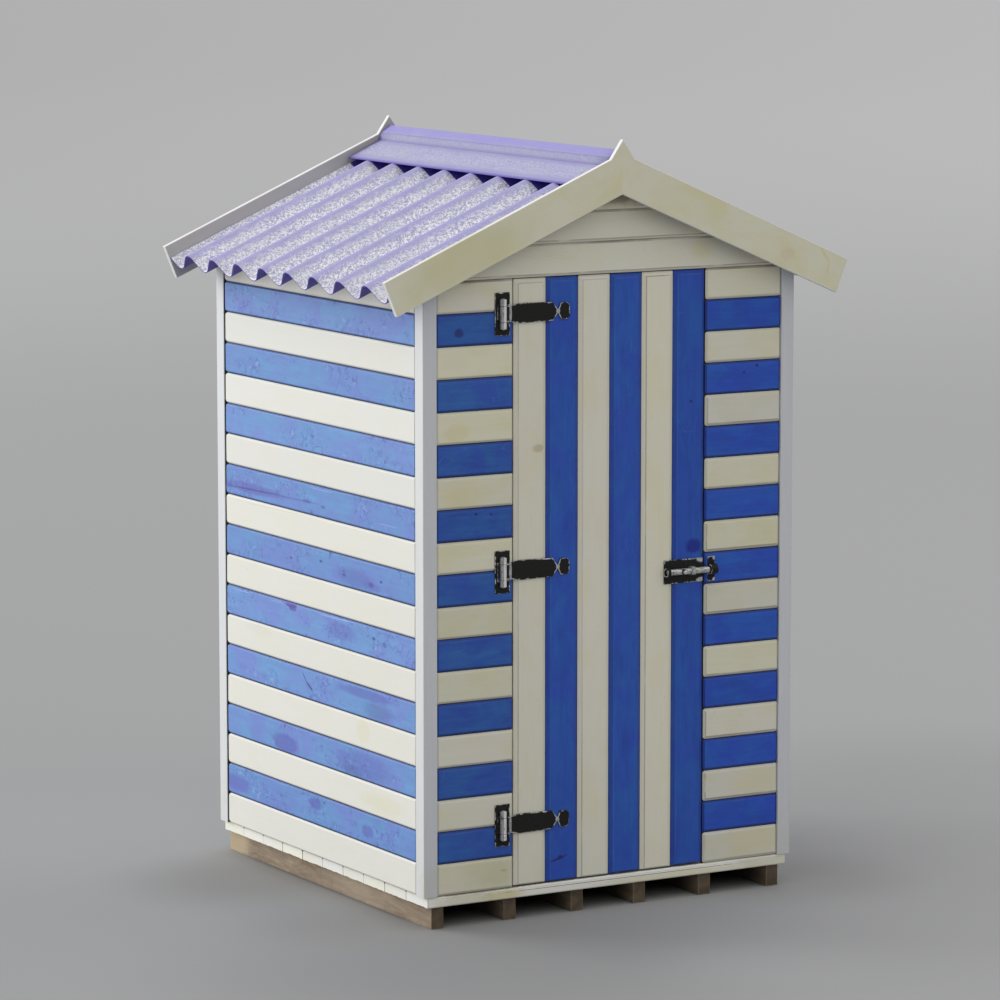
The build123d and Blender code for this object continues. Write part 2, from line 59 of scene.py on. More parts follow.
# --------------------------------------------------------------------------
# mesh making
# --------------------------------------------------------------------------
class Piece:
    """Gathers closed shells into one mesh, with the attributes its finish uses."""

    def __init__(self, name):
        self.name = name
        self.v, self.f, self.mat, self.edge, self.tone = [], [], [], [], []
        self.grain = []

    def face(self, idx, mat=0, edge=0.0, tone=0.5):
        self.f.append(list(idx))
        self.mat.append(mat)
        self.edge.append(edge)
        self.tone.append(tone)

    def verts(self, points, grain=None):
        start = len(self.v)
        self.v.extend([tuple(float(c) for c in p) for p in points])
        self.grain.extend(
            [tuple(float(c) for c in g) for g in (grain if grain is not None else points)]
        )
        return list(range(start, start + len(points)))

    def shell(self, rings, bands, cap0=None, cap1=None, grain=None, tone=0.5):
        """Rings of points joined in order.  bands gives (mat, edge) for each gap, caps the same."""
        ids = []
        for k, r in enumerate(rings):
            g = None if grain is None else [grain(p) for p in r]
            ids.append(self.verts(r, g))
        n = len(rings[0])
        for k in range(len(rings) - 1):
            mat, edge = bands[k]
            for i in range(n):
                j = (i + 1) % n
                self.face([ids[k][i], ids[k][j], ids[k + 1][j], ids[k + 1][i]], mat, edge, tone)
        if cap0 is not None:
            self.face(ids[0][::-1], cap0[0], cap0[1], tone)
        if cap1 is not None:
            self.face(ids[-1], cap1[0], cap1[1], tone)
        return ids

    def build(self, materials, weighted=True, sharp=32.0, smooth=True):
        me = bpy.data.meshes.new(self.name)
        me.from_pydata([tuple(c / 1000 for c in p) for p in self.v], [], self.f)
        for m in materials:
            me.materials.append(m)
        me.polygons.foreach_set("material_index", self.mat)
        for key, data in (("edge", self.edge), ("tone", self.tone)):
            a = me.attributes.new(key, "FLOAT", "FACE")
            a.data.foreach_set("value", np.array(data, np.float32))
        a = me.attributes.new("grain", "FLOAT_VECTOR", "POINT")
        a.data.foreach_set("vector", (np.array(self.grain, np.float32) / 1000).ravel())
        me.validate(clean_customdata=False)
        bm = bmesh.new()
        bm.from_mesh(me)
        bmesh.ops.recalc_face_normals(bm, faces=bm.faces)
        bm.to_mesh(me)
        bm.free()
        if smooth:
            me.polygons.foreach_set("use_smooth", [True] * len(me.polygons))
            me.set_sharp_from_angle(angle=math.radians(sharp))
        me.update()
        obj = bpy.data.objects.new(self.name, me)
        scene.collection.objects.link(obj)
        if weighted:
            mod = obj.modifiers.new("weighted", "WEIGHTED_NORMAL")
            mod.keep_sharp = True
            mod.weight = 60
        return obj


def outline(poly, radii, insets, steps, arc=4):
    """A closed outline's points, each edge moved in by its inset and each corner rounded."""
    n = len(poly)
    P = [np.array(p, float) for p in poly]
    tang, norm = [], []
    for i in range(n):
        t = P[(i + 1) % n] - P[i]
        t = t / np.linalg.norm(t)
        tang.append(t)
        norm.append(np.array((-t[1], t[0])))
    runs = []
    for i in range(n):
        t0, n0, d0 = tang[i - 1], norm[i - 1], insets[i - 1]
        t1, n1, d1 = tang[i], norm[i], insets[i]
        p0, p1 = P[i] + n0 * d0, P[i] + n1 * d1
        cross = t0[0] * t1[1] - t0[1] * t1[0]
        if abs(cross) < 1e-6:
            c = (p0 + p1) / 2
        else:
            s = ((p1 - p0)[0] * t1[1] - (p1 - p0)[1] * t1[0]) / cross
            c = p0 + t0 * s
        r = radii[i]
        if r <= 0:
            runs.append([c])
            continue
        convex = cross > 0
        d = (d0 + d1) / 2
        rr = max(r - d, 0.25) if convex else max(r + d, 0.25)
        turn = math.acos(max(-1.0, min(1.0, float(t0 @ t1))))
        reach = rr * math.tan(turn / 2)
        a = c - t0 * reach
        side = 1 if convex else -1
        centre = a + n0 * rr * side
        pts = []
        for k in range(arc + 1):
            q = turn * k / arc * side
            v = a - centre
            pts.append(
                centre
                + np.array(
                    (v[0] * math.cos(q) - v[1] * math.sin(q), v[0] * math.sin(q) + v[1] * math.cos(q))
                )
            )
        runs.append(pts)
    out, normals, inside = [], [], []
    for i in range(n):
        for k, p in enumerate(runs[i]):
            out.append(p)
            nn = norm[i - 1] + norm[i]
            normals.append(nn / max(np.linalg.norm(nn), 1e-6))
            inside.append(0.0)
        a, b = runs[i][-1], runs[(i + 1) % n][0]
        m = steps[i]
        for k in range(1, m):
            out.append(a + (b - a) * k / m)
            normals.append(norm[i])
            inside.append(1.0)
    return out, normals, inside


def wander(count, rng, size, every=1.0):
    """Small smooth offsets along an edge."""
    knots = [rng.uniform(-1, 1) for _ in range(count + 3)]
    return [size * (0.6 * knots[i] + 0.4 * knots[i + 1]) for i in range(count)]


def board(
    piece,
    poly,
    place,
    thickness,
    rng,
    mats=(0, 0, 1),
    bevel=7.5,
    depth=4.5,
    radius=8.0,
    radii=None,
    tongue=None,
    steps=None,
    wear=0.25,
    along=0,
    arc=4,
    grow=None,
    lined="lbrt",
    painted="",
):
    """One board.  poly is its outline (u, v) going anticlockwise, place(u, v, w) gives the row point, and w runs from the back (0) to the face.
    tongue gives how far each edge of the back half reaches out (a rebate where it is negative).
    lined names the edges (left, bottom, right, top) whose bevel starts in a worn line, painted those that stay clean down the side."""
    n = len(poly)
    radii = radii or [radius] * n
    if steps is None:
        steps = [
            max(1, int(math.dist(poly[i], poly[(i + 1) % n]) / 75)) for i in range(n)
        ]
    tone = rng.random()
    shift = (rng.uniform(-40, 40) * 100, rng.uniform(-40, 40) * 100, rng.uniform(-40, 40) * 100)
    T = thickness
    profile = [
        (bevel + 2.3, T, 0.0),
        (bevel + 0.4, T - 0.12, 1.0),
        (bevel - 1.1, T - 0.6, 1.0),
        (1.0, T - depth + 0.15, 2.0),
        (0.25, T - depth - 0.6, 2.0),
        (0.0, T - depth - 1.6, 3.0),
    ]
    edges = [1.0] * n if grow is None else grow
    rings, bands = [], []
    base = None
    sides = []
    for k, (inset, w, _) in enumerate(profile):
        pts, normals, inside = outline(poly, radii, [inset * e for e in edges], steps, arc)
        if base is None:
            base = wander(len(pts), rng, wear)
            for i in range(len(pts)):
                t = np.array(pts[(i + 1) % len(pts)]) - np.array(pts[i])
                across = abs(t[0]) > abs(t[1])
                sides.append(("b" if t[0] > 0 else "t") if across else ("r" if t[1] > 0 else "l"))
        rings.append(
            [
                (p[0] + nn[0] * b * s, p[1] + nn[1] * b * s, w)
                for p, nn, b, s in zip(pts, normals, base, inside)
            ]
        )
    for k in range(len(profile) - 1):
        bands.append((mats[0], profile[k + 1][2]))
    tongue = tongue or [0.0] * n
    half = T * 0.45
    tight = [min(q, 0.8) for q in radii]
    for w, out in ((half, 0.0), (half - 0.01, 1.0), (0.0, 1.0)):
        pts, normals, inside = outline(poly, tight if out else radii, [-t * out for t in tongue], steps, arc)
        rings.append(
            [
                (p[0] + nn[0] * b * s, p[1] + nn[1] * b * s, w)
                for p, nn, b, s in zip(pts, normals, base, inside)
            ]
        )
        bands.append((mats[1] if len(bands) < len(profile) else mats[2], 3.0))

    def grain(p):
        a, c = (p[0], p[1]) if along == 0 else (p[1], p[0])
        return (a + shift[0], c + shift[1], p[2] + shift[2])

    flat = [[q for q in r] for r in rings]
    placed = [[place(*q) for q in r] for r in flat]
    ids = []
    for r, q in zip(placed, flat):
        ids.append(piece.verts(r, [grain(p) for p in q]))
    m = len(placed[0])
    for k in range(len(placed) - 1):
        mat, edge = bands[k]
        for i in range(m):
            j = (i + 1) % m
            code = 5.0 if (edge == 1.0 and sides[i] not in lined) or (edge == 3.0 and sides[i] in painted) else edge
            piece.face([ids[k][i], ids[k][j], ids[k + 1][j], ids[k + 1][i]], mat, code, tone)
    piece.face(ids[0][::-1], mats[0], 0.0, tone)
    piece.face(ids[-1], mats[2], 0.0, tone)


def slab(piece, poly, place, thickness, bevel=0.8, radii=None, mat=0, arc=3, grow=None, steps=None, back=True, rim=0.0, side=0.0, arris=1.0, inner=0.0):
    """A flat plate or plain board with rounded arrises on both faces.
    side, arris and inner are the edge codes of those faces, and rim is the width of a band inside the arris (code 2)."""
    n = len(poly)
    radii = radii or [0.0] * n
    steps = steps or [1] * n
    edges = [1.0] * n if grow is None else grow
    b = bevel
    prof = [(b, thickness, 2.0), (b * 0.32, thickness - b * 0.28, arris), (0.0, thickness - b, arris)]
    if rim:
        prof = [(b + rim, thickness, 0.0)] + prof
    if back:
        prof += [(0.0, b, side), (b * 0.32, b * 0.28, arris), (b, 0.0, arris)]
    else:
        prof += [(0.0, 0.0, side)]
    rings = []
    for inset, w, _ in prof:
        pts, _, _ = outline(poly, radii, [inset * e for e in edges], steps, arc)
        rings.append([place(p[0], p[1], w) for p in pts])
    bands = [(mat, prof[k + 1][2]) for k in range(len(prof) - 1)]
    piece.shell(rings, bands, cap0=(mat, 0.0), cap1=(mat, inner))


def revolve(piece, profile, centre, axis, segs=28, mat=0, edges=None, open_ends=False):
    """A turned shape.  profile is (along, radius) pairs, axis 'x', 'y' or 'z'."""
    rings = []
    for a, r in profile:
        ring = []
        for k in range(segs):
            q = 2 * math.pi * k / segs
            c, s = r * math.cos(q), r * math.sin(q)
            p = {
                "x": (centre[0] + a, centre[1] + c, centre[2] + s),
                "y": (centre[0] + c, centre[1] + a, centre[2] + s),
                "z": (centre[0] + c, centre[1] + s, centre[2] + a),
            }[axis]
            ring.append(p)
        rings.append(ring)
    edges = edges or [0.0] * (len(profile) - 1)
    piece.shell(rings, [(mat, e) for e in edges], cap0=(mat, 0.0), cap1=(mat, 0.0))


def join_to_collection(obj, body, replaced):
    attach(obj, body)
    if replaced:
        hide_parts(*replaced)
    return obj


# --------------------------------------------------------------------------
# materials
# --------------------------------------------------------------------------
class Nodes:
    """Short names for the nodes a finish is made of."""

    def __init__(self, name):
        self.mat = bpy.data.materials.new(name)
        self.mat.use_nodes = True
        self.t = self.mat.node_tree
        self.t.nodes.clear()
        self.out = self.t.nodes.new("ShaderNodeOutputMaterial")
        self.bsdf = self.t.nodes.new("ShaderNodeBsdfPrincipled")
        self.t.links.new(self.bsdf.outputs[0], self.out.inputs[0])
        self.obj = self.t.nodes.new("ShaderNodeTexCoord").outputs["Object"]

    def new(self, kind, **props):
        n = self.t.nodes.new(kind)
        for k, v in props.items():
            setattr(n, k, v)
        return n

    def put(self, socket, value):
        if hasattr(value, "links"):
            self.t.links.new(value, socket)
        elif isinstance(value, (tuple, list)) and len(value) == 3 and socket.type == "RGBA":
            socket.default_value = (*value, 1.0)
        else:
            socket.default_value = value

    def set(self, **kw):
        for k, v in kw.items():
            self.put(self.bsdf.inputs[k.replace("_", " ").title().replace("Ior", "IOR")], v)

    def attr(self, name, kind="GEOMETRY"):
        n = self.new("ShaderNodeAttribute", attribute_type=kind, attribute_name=name)
        return n

    def math(self, op, a, b=None, c=None, clamp=False):
        n = self.new("ShaderNodeMath", operation=op, use_clamp=clamp)
        self.put(n.inputs[0], a)
        if b is not None:
            self.put(n.inputs[1], b)
        if c is not None:
            self.put(n.inputs[2], c)
        return n.outputs[0]

    def vmath(self, op, a, b=None, scale=None):
        n = self.new("ShaderNodeVectorMath", operation=op)
        self.put(n.inputs[0], a)
        if b is not None:
            self.put(n.inputs[1], b)
        if scale is not None:
            self.put(n.inputs["Scale"], scale)
        return n.outputs["Value"] if op in ("LENGTH", "DISTANCE", "DOT_PRODUCT") else n.outputs["Vector"]

    def noise(self, vec, scale, detail=3.0, rough=0.55, distort=0.0, kind="FBM", lac=2.0):
        n = self.new("ShaderNodeTexNoise")
        self.put(n.inputs["Vector"], vec)
        self.put(n.inputs["Scale"], scale)
        self.put(n.inputs["Detail"], detail)
        self.put(n.inputs["Roughness"], rough)
        self.put(n.inputs["Lacunarity"], lac)
        self.put(n.inputs["Distortion"], distort)
        return n.outputs["Fac"]

    def noise_colour(self, vec, scale):
        """A noise with a value for each axis."""
        node = self.new("ShaderNodeTexNoise")
        self.put(node.inputs["Vector"], vec)
        node.inputs["Scale"].default_value = scale
        node.inputs["Detail"].default_value = 2.0
        return node.outputs["Color"]

    def voronoi(self, vec, scale, feature="F1", rand=1.0):
        n = self.new("ShaderNodeTexVoronoi", feature=feature)
        self.put(n.inputs["Vector"], vec)
        self.put(n.inputs["Scale"], scale)
        self.put(n.inputs["Randomness"], rand)
        return n.outputs["Distance"]

    def stretch(self, vec, scale, loc=(0, 0, 0), rot=(0, 0, 0)):
        n = self.new("ShaderNodeMapping")
        self.put(n.inputs["Vector"], vec)
        n.inputs["Scale"].default_value = scale
        n.inputs["Location"].default_value = loc
        n.inputs["Rotation"].default_value = rot
        return n.outputs[0]

    def remap(self, v, a, b, c=0.0, d=1.0, smooth=True):
        n = self.new("ShaderNodeMapRange", interpolation_type="SMOOTHSTEP" if smooth else "LINEAR")
        self.put(n.inputs["Value"], v)
        n.inputs["From Min"].default_value = a
        n.inputs["From Max"].default_value = b
        n.inputs["To Min"].default_value = c
        n.inputs["To Max"].default_value = d
        return n.outputs["Result"]

    def mix(self, fac, a, b, blend="MIX"):
        n = self.new("ShaderNodeMix", data_type="RGBA", blend_type=blend)
        n.clamp_factor = True
        self.put(n.inputs["Factor"], fac)
        self.put(n.inputs["A"] if False else n.inputs[6], a)
        self.put(n.inputs[7], b)
        return n.outputs[2]

    def fmix(self, fac, a, b):
        n = self.new("ShaderNodeMix", data_type="FLOAT")
        self.put(n.inputs[0], fac)
        self.put(n.inputs[2], a)
        self.put(n.inputs[3], b)
        return n.outputs[0]

    def bump(self, height, strength=0.2, distance=0.001, normal=None):
        n = self.new("ShaderNodeBump")
        n.inputs["Strength"].default_value = strength
        n.inputs["Distance"].default_value = distance
        self.put(n.inputs["Height"], height)
        if normal is not None:
            self.put(n.inputs["Normal"], normal)
        return n.outputs[0]

    def spot(self, place, radii, turn=(0, 0, 0), soft=0.5, ragged=0.35, scale=60.0):
        """A mark: 1 inside an ellipsoid at place (metres), falling to 0 outside, with a ragged border."""
        d = self.vmath("SUBTRACT", self.obj, place)
        n = self.new("ShaderNodeMapping", vector_type="POINT")
        self.put(n.inputs["Vector"], d)
        n.inputs["Rotation"].default_value = turn
        n.inputs["Scale"].default_value = (1, 1, 1)
        e = self.vmath("DIVIDE", n.outputs[0], radii)
        l = self.vmath("LENGTH", e)
        if ragged:
            w = self.noise(self.obj, scale, 3.0, 0.6)
            l = self.math("ADD", l, self.math("MULTIPLY_ADD", w, -2 * ragged, ragged))
        return self.remap(l, 1.0 + soft / 2, 1.0 - soft / 2)


def edge_is(n, e, value):
    """1 where the face attribute edge has that value."""
    return n.math("COMPARE", e, float(value), 0.4)


CREAM = (0.80, 0.78, 0.63)
CREAM_YELLOW = (0.78, 0.745, 0.52)
CREAM_PINK = (0.81, 0.765, 0.64)
BLUE_VIOLET = (0.018, 0.06, 0.56)
BLUE_TEAL = (0.012, 0.095, 0.56)


def joint_shade_dots(n, first, pitch, end):
    """1 at the small corner holes where a joint between boards meets the post at the given end, which take painted
    shade.
    """
    place = n.new("ShaderNodeSeparateXYZ")
    n.put(place.inputs[0], n.obj)
    turns = n.math("DIVIDE", n.math("SUBTRACT", place.outputs[2], first), pitch)
    off = n.math("MULTIPLY", n.math("SUBTRACT", n.math("FRACT", n.math("ADD", turns, 0.5)), 0.5), pitch / 0.0060)
    out = n.math("DIVIDE", n.math("SUBTRACT", place.outputs[1], end), 0.0130)
    far = n.math("SQRT", n.math("ADD", n.math("MULTIPLY", off, off), n.math("MULTIPLY", out, out)))
    return n.remap(far, 1.35, 0.85)


def paint_cream(
    name,
    stains_and_shade=(),
    streak=1.0,
    base=CREAM,
    yellow=CREAM_YELLOW,
    pink=CREAM_PINK,
    rough=0.52,
    patchy=1.0,
    lines=0.8,
    chamfer_shade=0.35,
    even_lines=False,
    tint=1.0,
    side=None,
    inner=None,
    gap=(0.05, 0.05, 0.06),
    shade_dots=None,
    lap_shade_heights=(),
):
    """Worn cream paint.  side and inner are the paints of edge codes 4 and 5: side a whiter painted highlight, inner a
    grey painted shade.  gap is the painted shade in the joints, and the lap heights give a band of painted shade under
    a lapped board.
    """
    n = Nodes(name)
    g = n.attr("grain").outputs["Vector"]
    e = n.attr("edge").outputs["Fac"]
    tone = n.attr("tone").outputs["Fac"]
    # slow drifts between a cooler cream, a yellower one and a pinker one
    slow = n.noise(n.stretch(g, (1.0, 1.4, 1.0)), 5.5, 3.0, 0.6, 0.4)
    col = n.mix(n.remap(slow, 0.42, 0.72, 0.0, patchy), base, yellow)
    slow2 = n.noise(n.stretch(g, (1.0, 1.2, 1.0), (3.1, 7.7, 1.3)), 7.0, 2.0, 0.5, 0.6)
    col = n.mix(n.math("MULTIPLY", n.remap(slow2, 0.50, 0.74), 0.45 * patchy), col, pink)
    # brushed streaks along the board
    fine = n.noise(n.stretch(g, (2.2, 34.0, 34.0)), 3.0, 4.0, 0.62)
    col = n.mix(n.remap(fine, 0.30, 0.72, 0.10 * streak, 0.0), col, tuple(c * 0.74 for c in base))
    # dirt specks
    speck = n.noise(g, 120.0, 2.0, 0.5)
    col = n.mix(n.remap(speck, 0.70, 0.78, 0.0, 0.35), col, (0.42, 0.38, 0.28))
    # each board a little lighter or darker, warmer or cooler
    low = tuple(1.0 - tint * d for d in (0.060, 0.055, 0.035))
    high = tuple(1.0 + tint * d for d in (0.045, 0.040, 0.020))
    col = n.mix(1.0, col, n.mix(tone, low, high), "MULTIPLY")
    warm = n.math("FRACT", n.math("MULTIPLY", tone, 7.31))
    col = n.mix(1.0, col, n.mix(warm, (1.0, 1.0, 1.0 + 0.04 * tint), (1.0, 0.995, 1.0 - 0.05 * tint)), "MULTIPLY")
    # a thin worn line where the bevel starts, then painted shade on the bevel and in the joints
    patch = n.noise(n.stretch(g, (1.5, 3, 3)), 6.0, 3.0)
    line = n.math("MULTIPLY", edge_is(n, e, 1), n.remap(patch, 0.30, 0.50, 0.55 if even_lines else 0.25, 1.0))
    some = n.remap(n.noise(n.stretch(g, (0.02, 0.02, 0.02)), 40.0, 0.0), 0.38, 0.58, 0.5 if even_lines else 0.15, 1.0)
    col = n.mix(n.math("MULTIPLY", n.math("MULTIPLY", line, some), lines), col, (0.36, 0.34, 0.27))
    col = n.mix(n.math("MULTIPLY", edge_is(n, e, 2), chamfer_shade), col, (0.50, 0.49, 0.44))
    col = n.mix(n.math("MULTIPLY", edge_is(n, e, 3), 0.93), col, gap)
    # painted shade in the corner holes at the joints
    if shade_dots:
        col = n.mix(joint_shade_dots(n, *shade_dots), col, (0.006, 0.007, 0.012))
    if lap_shade_heights:
        # painted shade: a dark band just under each lap, where the board above overhangs
        up = n.new("ShaderNodeSeparateXYZ")
        n.put(up.inputs[0], n.obj)
        drift = n.remap(n.noise(n.stretch(n.obj, (1.0, 1.0, 0.2)), 5.0, 4.0, 0.6), 0.36, 0.62, 0.15, 0.52)
        for z in lap_shade_heights:
            painted_shade_under = n.remap(n.math("ABSOLUTE", n.math("SUBTRACT", up.outputs[2], z - 0.0035)), 0.0055, 0.0025)
            col = n.mix(n.math("MULTIPLY", painted_shade_under, drift), col, (0.13, 0.108, 0.075))
    # painted highlight on the sides and arrises (code 4)
    if side:
        dust_and_sheen = n.remap(n.noise(n.stretch(g, (1.0, 4.0, 4.0)), 9.0, 4.0), 0.35, 0.60, 0.25, 0.0)
        col = n.mix(edge_is(n, e, 4), col, n.mix(dust_and_sheen, side, tuple(c * 0.7 for c in side)))
    # painted shade on the inner face (code 5)
    if inner:
        drift = n.remap(n.noise(n.stretch(g, (1.0, 1.5, 1.5)), 4.0, 4.0), 0.35, 0.65)
        shade = n.mix(drift, inner, tuple(c * d for c, d in zip(inner, (1.06, 1.03, 0.98))))
        col = n.mix(edge_is(n, e, 5), col, n.mix(n.remap(fine, 0.3, 0.7, 0.15, 0.0), shade, tuple(c * 0.75 for c in inner)))
    for place, radii, turn, colour, amount, soft, ragged, scale in stains_and_shade:
        m = n.spot(place, radii, turn, soft, ragged, scale)
        col = n.mix(n.math("MULTIPLY", m, amount), col, colour)
    n.set(base_color=col, roughness=n.remap(fine, 0.2, 0.8, rough - 0.06, rough + 0.10))
    brush = n.math("ADD", n.math("MULTIPLY", fine, 0.7), n.math("MULTIPLY", n.noise(g, 60.0, 3.0), 0.5))
    n.put(n.bsdf.inputs["Normal"], n.bump(brush, 0.35, 0.0007))
    return n.mat


def paint_blue(
    name,
    stains_and_shade=(),
    rough=0.46,
    teal=BLUE_TEAL,
    violet=BLUE_VIOLET,
    dark=(0.020, 0.070, 0.42),
    light=(0.05, 0.17, 0.62),
    specular=0.35,
    lines=0.65,
    chamfer_shade=0.62,
    even_lines=False,
    bias=0.0,
    shade_dots=None,
    marks=0.0,
):
    n = Nodes(name)
    g = n.attr("grain").outputs["Vector"]
    e = n.attr("edge").outputs["Fac"]
    tone = n.attr("tone").outputs["Fac"]
    slow = n.noise(n.stretch(g, (1.0, 1.3, 1.0)), 6.0, 4.0, 0.62, 0.8)
    col = n.mix(n.remap(slow, 0.36 - bias, 0.66 - bias), teal, violet)
    mid = n.noise(n.stretch(g, (0.8, 2.2, 2.2), (5.1, 2.7, 3.3)), 11.0, 4.0, 0.6, 0.5)
    col = n.mix(n.remap(mid, 0.30, 0.55, 0.5, 0.0), col, dark)
    col = n.mix(n.remap(mid, 0.56, 0.80, 0.0, 0.35), col, light)
    fine = n.noise(n.stretch(g, (2.0, 30.0, 30.0)), 3.2, 4.0, 0.62)
    col = n.mix(n.remap(fine, 0.32, 0.70, 0.28, 0.0), col, tuple(c * 0.85 for c in dark))
    # small scuffs and scratches
    scr = n.voronoi(n.stretch(g, (1.0, 3.0, 1.0)), 13.0, "DISTANCE_TO_EDGE")
    keep_scr = n.remap(n.noise(g, 7.0, 2.0), 0.56, 0.68)
    col = n.mix(n.math("MULTIPLY", n.remap(scr, 0.012, 0.004), n.math("MULTIPLY", keep_scr, 0.45)), col, (0.10, 0.22, 0.60))
    blot = n.remap(n.noise(n.stretch(g, (1.2, 1.6, 1.2), (9.0, 4.0, 2.0)), 22.0, 4.0, 0.65, 0.4), 0.66, 0.76)
    col = n.mix(n.math("MULTIPLY", blot, 0.4), col, (0.030, 0.045, 0.33))
    if marks:
        # crazed paint in patches: short dark cracks and pale scuffs
        bent = n.vmath("ADD", g, n.vmath("SCALE", n.vmath("SUBTRACT", n.noise_colour(g, 30.0), (0.5, 0.5, 0.5)), scale=0.035))
        where = n.remap(n.noise(n.stretch(g, (0.8, 1.5, 1.5), (2.0, 9.0, 4.0)), 6.0, 3.0, 0.6), 0.47, 0.60)
        broken = n.remap(n.noise(n.stretch(g, (1, 1, 1), (5.0, 3.0, 8.0)), 45.0, 3.0, 0.6), 0.47, 0.56)
        crack = n.remap(n.voronoi(bent, 30.0, "DISTANCE_TO_EDGE"), 0.060, 0.020)
        shade = n.remap(n.noise(n.stretch(g, (1, 1, 1), (1.0, 6.0, 2.0)), 34.0, 4.0, 0.7, 0.8), 0.50, 0.62)
        col = n.mix(n.math("MULTIPLY", n.math("MULTIPLY", shade, where), 0.40 * marks), col, (0.085, 0.125, 0.50))
        col = n.mix(n.math("MULTIPLY", n.math("MULTIPLY", crack, n.math("MULTIPLY", where, broken)), 0.62 * marks), col, (0.045, 0.060, 0.34))
        scuff = n.remap(n.voronoi(n.stretch(bent, (1, 1, 1), (0.013, 0.021, 0.017)), 24.0, "DISTANCE_TO_EDGE"), 0.045, 0.015)
        pale = n.math("MULTIPLY", where, n.remap(n.noise(n.stretch(g, (1, 1, 1), (4.0, 2.0, 9.0)), 40.0, 3.0, 0.6), 0.52, 0.60))
        col = n.mix(n.math("MULTIPLY", n.math("MULTIPLY", scuff, pale), 0.45 * marks), col, (0.38, 0.56, 0.86))
    speck = n.noise(n.stretch(g, (1, 1, 1), (7.0, 1.0, 2.0)), 150.0, 2.0, 0.5)
    col = n.mix(n.remap(speck, 0.72, 0.79, 0.0, 0.5), col, (0.012, 0.020, 0.12))
    col = n.mix(1.0, col, n.mix(tone, (0.90, 0.93, 0.95), (1.10, 1.06, 1.03)), "MULTIPLY")
    patch = n.noise(n.stretch(g, (1.5, 3, 3)), 6.0, 3.0)
    line = n.math("MULTIPLY", edge_is(n, e, 1), n.remap(patch, 0.30, 0.50, 0.55 if even_lines else 0.2, 1.0))
    some = n.remap(n.noise(n.stretch(g, (0.02, 0.02, 0.02)), 40.0, 0.0), 0.38, 0.58, 0.5 if even_lines else 0.15, 1.0)
    col = n.mix(n.math("MULTIPLY", n.math("MULTIPLY", line, some), lines), col, (0.12, 0.22, 0.55))
    # painted shade on the bevels, and in the joints
    col = n.mix(n.math("MULTIPLY", edge_is(n, e, 2), chamfer_shade), col, (0.008, 0.020, 0.17))
    col = n.mix(n.math("MULTIPLY", edge_is(n, e, 3), 0.90), col, (0.004, 0.008, 0.05))
    # painted shade in the corner holes at the joints
    if shade_dots:
        col = n.mix(joint_shade_dots(n, *shade_dots), col, (0.006, 0.007, 0.012))
    for place, radii, turn, colour, amount, soft, ragged, scale in stains_and_shade:
        m = n.spot(place, radii, turn, soft, ragged, scale)
        col = n.mix(n.math("MULTIPLY", m, amount), col, colour)
    n.set(base_color=col, roughness=n.remap(mid, 0.2, 0.8, rough - 0.05, rough + 0.09))
    n.bsdf.inputs["Specular IOR Level"].default_value = specular
    brush = n.math("ADD", n.math("MULTIPLY", fine, 0.7), n.math("MULTIPLY", n.noise(g, 55.0, 3.0), 0.5))
    n.put(n.bsdf.inputs["Normal"], n.bump(brush, 0.35, 0.0007))
    return n.mat


def paint_white(name):
    n = Nodes(name)
    g = n.stretch(n.obj, (1.0, 1.0, 0.12))
    slow = n.noise(g, 3.0, 3.0, 0.6, 0.3)
    col = n.mix(n.remap(slow, 0.35, 0.7), (0.69, 0.71, 0.73), (0.64, 0.655, 0.71))
    fine = n.noise(n.stretch(n.obj, (40.0, 40.0, 2.0)), 2.0, 4.0, 0.6)
    col = n.mix(n.remap(fine, 0.3, 0.7, 0.16, 0.0), col, (0.53, 0.54, 0.57))
    foot = n.new("ShaderNodeSeparateXYZ")
    n.put(foot.inputs[0], n.obj)
    low = n.remap(foot.outputs[2], 0.42, 0.10)
    col = n.mix(n.math("MULTIPLY", low, n.remap(n.noise(n.obj, 9.0, 4.0), 0.38, 0.62, 0.05, 0.40)), col, (0.60, 0.57, 0.47))
    speck = n.noise(n.obj, 90.0, 2.0, 0.5)
    col = n.mix(n.remap(speck, 0.70, 0.78, 0.0, 0.30), col, (0.38, 0.36, 0.33))
    # painted shade on the posts' inner faces where they show through the board corners at the joints
    joint_shade = n.remap(n.math("ABSOLUTE", n.math("SUBTRACT", n.math("ABSOLUTE", foot.outputs[1]), 0.644)), 0.0016, 0.0006)
    across = n.math("ABSOLUTE", foot.outputs[0])
    inside = n.math("MULTIPLY", n.remap(across, 0.6740, 0.6728), n.remap(across, 0.6592, 0.6600))
    col = n.mix(n.math("MULTIPLY", n.math("MULTIPLY", joint_shade, inside), 0.92), col, (0.012, 0.013, 0.016))
    # painted highlight: the posts' outer side faces are painted lighter
    outer = n.remap(n.math("ABSOLUTE", foot.outputs[0]), 0.6728, 0.6742)
    col = n.mix(outer, col, n.mix(1.0, col, (1.12, 1.11, 1.07), "MULTIPLY"))
    n.set(base_color=col, roughness=n.remap(fine, 0.2, 0.8, 0.42, 0.54))
    n.put(n.bsdf.inputs["Normal"], n.bump(fine, 0.3, 0.0006))
    return n.mat


